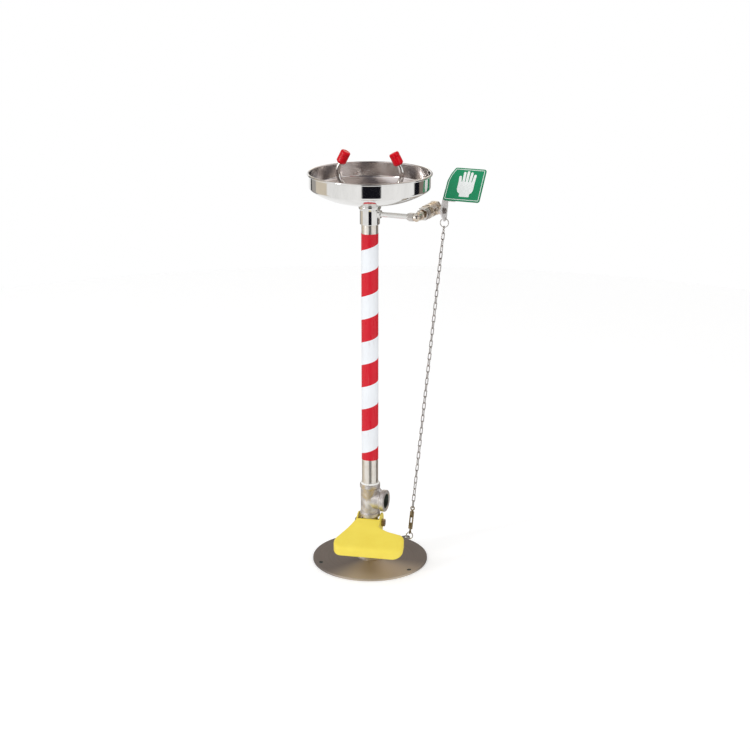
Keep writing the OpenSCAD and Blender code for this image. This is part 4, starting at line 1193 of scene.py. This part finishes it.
def make_hinge():
    z = HINGE_Z
    side = NECK_X + 0.3
    end = side + 2 + NUT_T + 0.8
    bolt = Piece().turned([(0, -end), (4.9, -end, 0.8), (4.9, side + 2.2, 0), (0, side + 2.2)],
                          FLOOR @ local((0, 0, z), X, Z), 48, closed=False)
    hexagon(bolt, 17, 6.4, FLOOR @ local((side + 2, 0, z), X, Z), both=False)
    bolt.made("hinge_pin", "stand", BOLT, "bright_steel", ["hinge_bolt"])
    hexagon(Piece(), 17, NUT_T, FLOOR @ local((-side - 2, 0, z), -X, Z), 5.0).made(
        "hinge_lock", "stand", BOLT, "bright_steel", ["hinge_nut"])
    washers, spacers = Piece(), Piece()
    for s in (1, -1):
        washers.turned(tube_profile(10, 5, 0, 2, 0.35), FLOOR @ local((side * s, 0, z), X * s, Z), 64)
        spacers.turned(tube_profile(9, 5, POST_R + 0.1, EAR_X - 0.3), FLOOR @ local((0, 0, z), X * s, Z), 64)
    washers.made("hinge_rings", "stand", BOLT, "bright_steel", ["hinge_washers"])
    spacers.made("hinge_sleeves", "stand", BOLT, "bright_steel", ["hinge_spacers"])


# ---------------------------------------------------------------- CAD nodes that stay

STAYING = {
    "riser_plug": PIPE, "supply_riser": CHROME, "flow_regulators": GREY_PLASTIC, "screen_packs": BRIGHT,
    "spray_discs": WHITE_PLASTIC, "cover_pins": BRIGHT, "ball": CHROME, "ball_seats": WHITE_PLASTIC,
    "stem": BRIGHT, "stem_packing": WHITE_PLASTIC, "hinge_bushes": GREY_PLASTIC,
}


def dress_cad():
    for name, look in STAYING.items():
        mesh = frame["nodes"][name].data
        mesh.materials.clear()
        mesh.materials.append(look)


make_base()
make_post()
make_tee()
make_bowl()
make_spray()
make_arm()
make_handle()
make_sign()
make_chain()
make_pedal()
make_hinge()
dress_cad()


# ---------------------------------------------------------------- floor, light, camera


def look_at(obj, eye, target):
    obj.location = eye
    obj.rotation_euler = (Vector(target) - Vector(eye)).to_track_quat("-Z", "Y").to_euler()


FLOOR_Z = -0.3                      # mm, just under the plate
CAMERA_TURN = math.radians(12)      # to the right of straight in front
CAMERA_BACK = 3.98                  # m, level distance from the post
CAMERA_Z = 1.763                    # m
CAMERA_DIP = math.radians(17.58)    # looking down
CAMERA_ASIDE = 0.0128               # m, aims this far right of the post


def make_floor():
    """A pale, faintly glowing floor that runs out into the white studio; mirrors do not see it.

    Under the plate it is painted near-black and does not glow, a painted shade, so that the anchor holes look
    dark.
    """
    look = Look("backdrop", (0.93, 0.93, 0.93), roughness=0.9, Emission_Color=(1, 1, 1, 1))
    cloud = look.noise(look.coords(), 0.6, 2, 0.5)
    tone = look.tone(cloud, 0.3, 0.7, 1, (0.975, 0.975, 0.975), (0.965, 0.965, 0.965))
    radius = look.node("ShaderNodeSeparateXYZ", {"Vector": look.polar()}).outputs[0]
    # painted shade: near-black and unlit under the plate
    open_floor = look.spread(radius, 0.140, 0.148, 0, 1)
    look.link(look.mix(open_floor, (0.05, 0.05, 0.05), tone), "Base Color")
    look.link(look.maths("MULTIPLY", open_floor, 0.16), "Emission Strength")
    piece = Piece()
    piece.rings([[(0, 0, FLOOR_Z)]] + [level_ring(r, FLOOR_Z, 96) for r in (300, 800, 1600, 3200)], FLOOR)
    mesh = bpy.data.meshes.new("studio_floor")
    bmesh.ops.recalc_face_normals(piece.bm, faces=piece.bm.faces)
    piece.bm.to_mesh(mesh)
    piece.bm.free()
    floor = linked("studio_floor", mesh)
    mesh.materials.append(look.material)
    floor.visible_glossy = False


def softbox(name, eye, target, width, height, power, mirrored=True):
    """A rectangular light; mirrors see it only if mirrored."""
    light = bpy.data.lights.new(name, "AREA")
    light.shape = "RECTANGLE"
    light.size, light.size_y = width, height
    light.energy = power
    obj = linked(name, light)
    obj.visible_glossy = mirrored
    look_at(obj, eye, target)


WHITE, LIGHT, GREY, BLACK = (1, 1, 1), (0.78, 0.74, 0.70), (0.42, 0.40, 0.38), (0.008, 0.008, 0.012)
BEIGE, BROWN, DIM, GOLD = (0.74, 0.66, 0.54), (0.26, 0.22, 0.19), (0.30, 0.28, 0.27), (1.9, 1.7, 1.35)
SLATE, UMBER = (0.20, 0.21, 0.25), (0.13, 0.10, 0.085)
# Cards round the set, which only mirrors see: where each starts, in degrees about Z, and its colour.
# They are placed so that the metal's bands fall as in the photo; the bowl's inside mirrors the top ones.
CARDS_LOW = [
    (-180, BEIGE), (-166, WHITE), (-93, BLACK), (-57, WHITE), (14, BLACK), (29, BROWN), (60, GREY),
    (100, WHITE), (134, BLACK), (141, GREY), (160, BEIGE),
]
CARDS_HIGH = [
    (-180, BROWN), (-144, WHITE), (-122, BEIGE), (-95, UMBER), (-61, LIGHT), (-41, WHITE), (-19, SLATE),
    (28, GREY), (84, GOLD), (116, DIM), (160, BROWN),
]
CARDS_TOP = [
    (-180, (1.2, 1.18, 1.2)), (-128, (0.62, 0.55, 0.52)), (-106, (0.10, 0.09, 0.10)),
    (-50, (0.30, 0.25, 0.23)), (-22, (0.42, 0.36, 0.33)), (22, (0.80, 0.72, 0.68)),
    (34, (1.1, 1.06, 1.04)), (56, (0.80, 0.70, 0.64)), (78, (0.25, 0.20, 0.18)),
    (100, (0.10, 0.08, 0.08)), (148, (0.55, 0.48, 0.45)), (168, (0.95, 0.92, 0.92)),
]


def make_world():
    """White studio all round; mirrors see the cards, low, high and top, instead."""
    world = bpy.data.worlds.new("studio")
    bpy.context.scene.world = world
    world.use_nodes = True
    tree = world.node_tree
    tree.nodes.clear()

    def node(kind, inputs=(), **settings):
        return new_node(tree, kind, inputs, settings)

    def cards(table, soft):
        """A table's colours by azimuth, each edge soft degrees wide to either side."""
        made = node("ShaderNodeValToRGB", {"Fac": unit.outputs[0]})
        ramp = made.color_ramp
        ramp.elements[0].color = (*table[0][1], 1)
        ramp.elements.remove(ramp.elements[1])
        for (_, before), (start, colour) in zip(table, table[1:]):
            ramp.elements.new((start - soft + 180) / 360).color = (*before, 1)
            ramp.elements.new((start + soft + 180) / 360).color = (*colour, 1)
        return made.outputs["Color"]

    way = node("ShaderNodeTexCoord").outputs["Generated"]
    split = node("ShaderNodeSeparateXYZ", {"Vector": way})
    turn = node("ShaderNodeMath", {0: split.outputs["Y"], 1: split.outputs["X"]}, operation="ARCTAN2")
    unit = node("ShaderNodeMapRange", {"Value": turn.outputs[0], "From Min": -math.pi, "From Max": math.pi})
    path = node("ShaderNodeLightPath")

    def stacked(start, end, under, over):
        """under where the view's z is below start, over where it is above end."""
        level = node("ShaderNodeMapRange", {"Value": split.outputs["Z"], "From Min": start, "From Max": end})
        return node("ShaderNodeMix", {0: level.outputs[0], 6: under, 7: over}, data_type="RGBA").outputs[2]

    def sky(colour, strength):
        return node("ShaderNodeBackground", {"Color": colour, "Strength": strength}).outputs[0]

    def for_ray(kind, others, these):
        return node("ShaderNodeMixShader", {0: path.outputs[kind], 1: others, 2: these}).outputs[0]

    white = (1, 1, 1, 1)
    rings = stacked(0.22, 0.34, cards(CARDS_LOW, 0.7), cards(CARDS_HIGH, 3))
    rings = stacked(0.38, 0.48, rings, cards(CARDS_TOP, 5))
    rings = stacked(-0.54, -0.48, white, rings)
    lit = for_ray("Is Glossy Ray", sky(white, 0.84), sky(rings, 0.95))
    node("ShaderNodeOutputWorld", {"Surface": for_ray("Is Camera Ray", lit, sky(white, 1.0))})


def make_camera():
    data = bpy.data.cameras.new("camera")
    data.lens = 79.2
    data.sensor_width = 36
    data.dof.use_dof = False
    data.clip_end = 50
    camera = linked("camera", data)
    cosine, sine = math.cos(CAMERA_TURN), math.sin(CAMERA_TURN)
    eye = Vector((sine * CAMERA_BACK, -cosine * CAMERA_BACK, CAMERA_Z))
    aim = Vector((cosine, sine, 0)) * CAMERA_ASIDE
    aim.z = CAMERA_Z - math.tan(CAMERA_DIP) * CAMERA_BACK
    look_at(camera, eye, aim)
    bpy.context.scene.camera = camera


make_floor()
make_world()
softbox("key", (-2.2, -2.0, 1.9), (0, 0, 0.8), 0.3, 1.8, 16)
softbox("fill", (0.6, -2.6, 3.2), (0, 0, 0.5), 1.6, 1.2, 12, mirrored=False)
make_camera()
bpy.context.scene.view_settings.view_transform = "Standard"
bpy.context.scene.view_settings.look = "None"
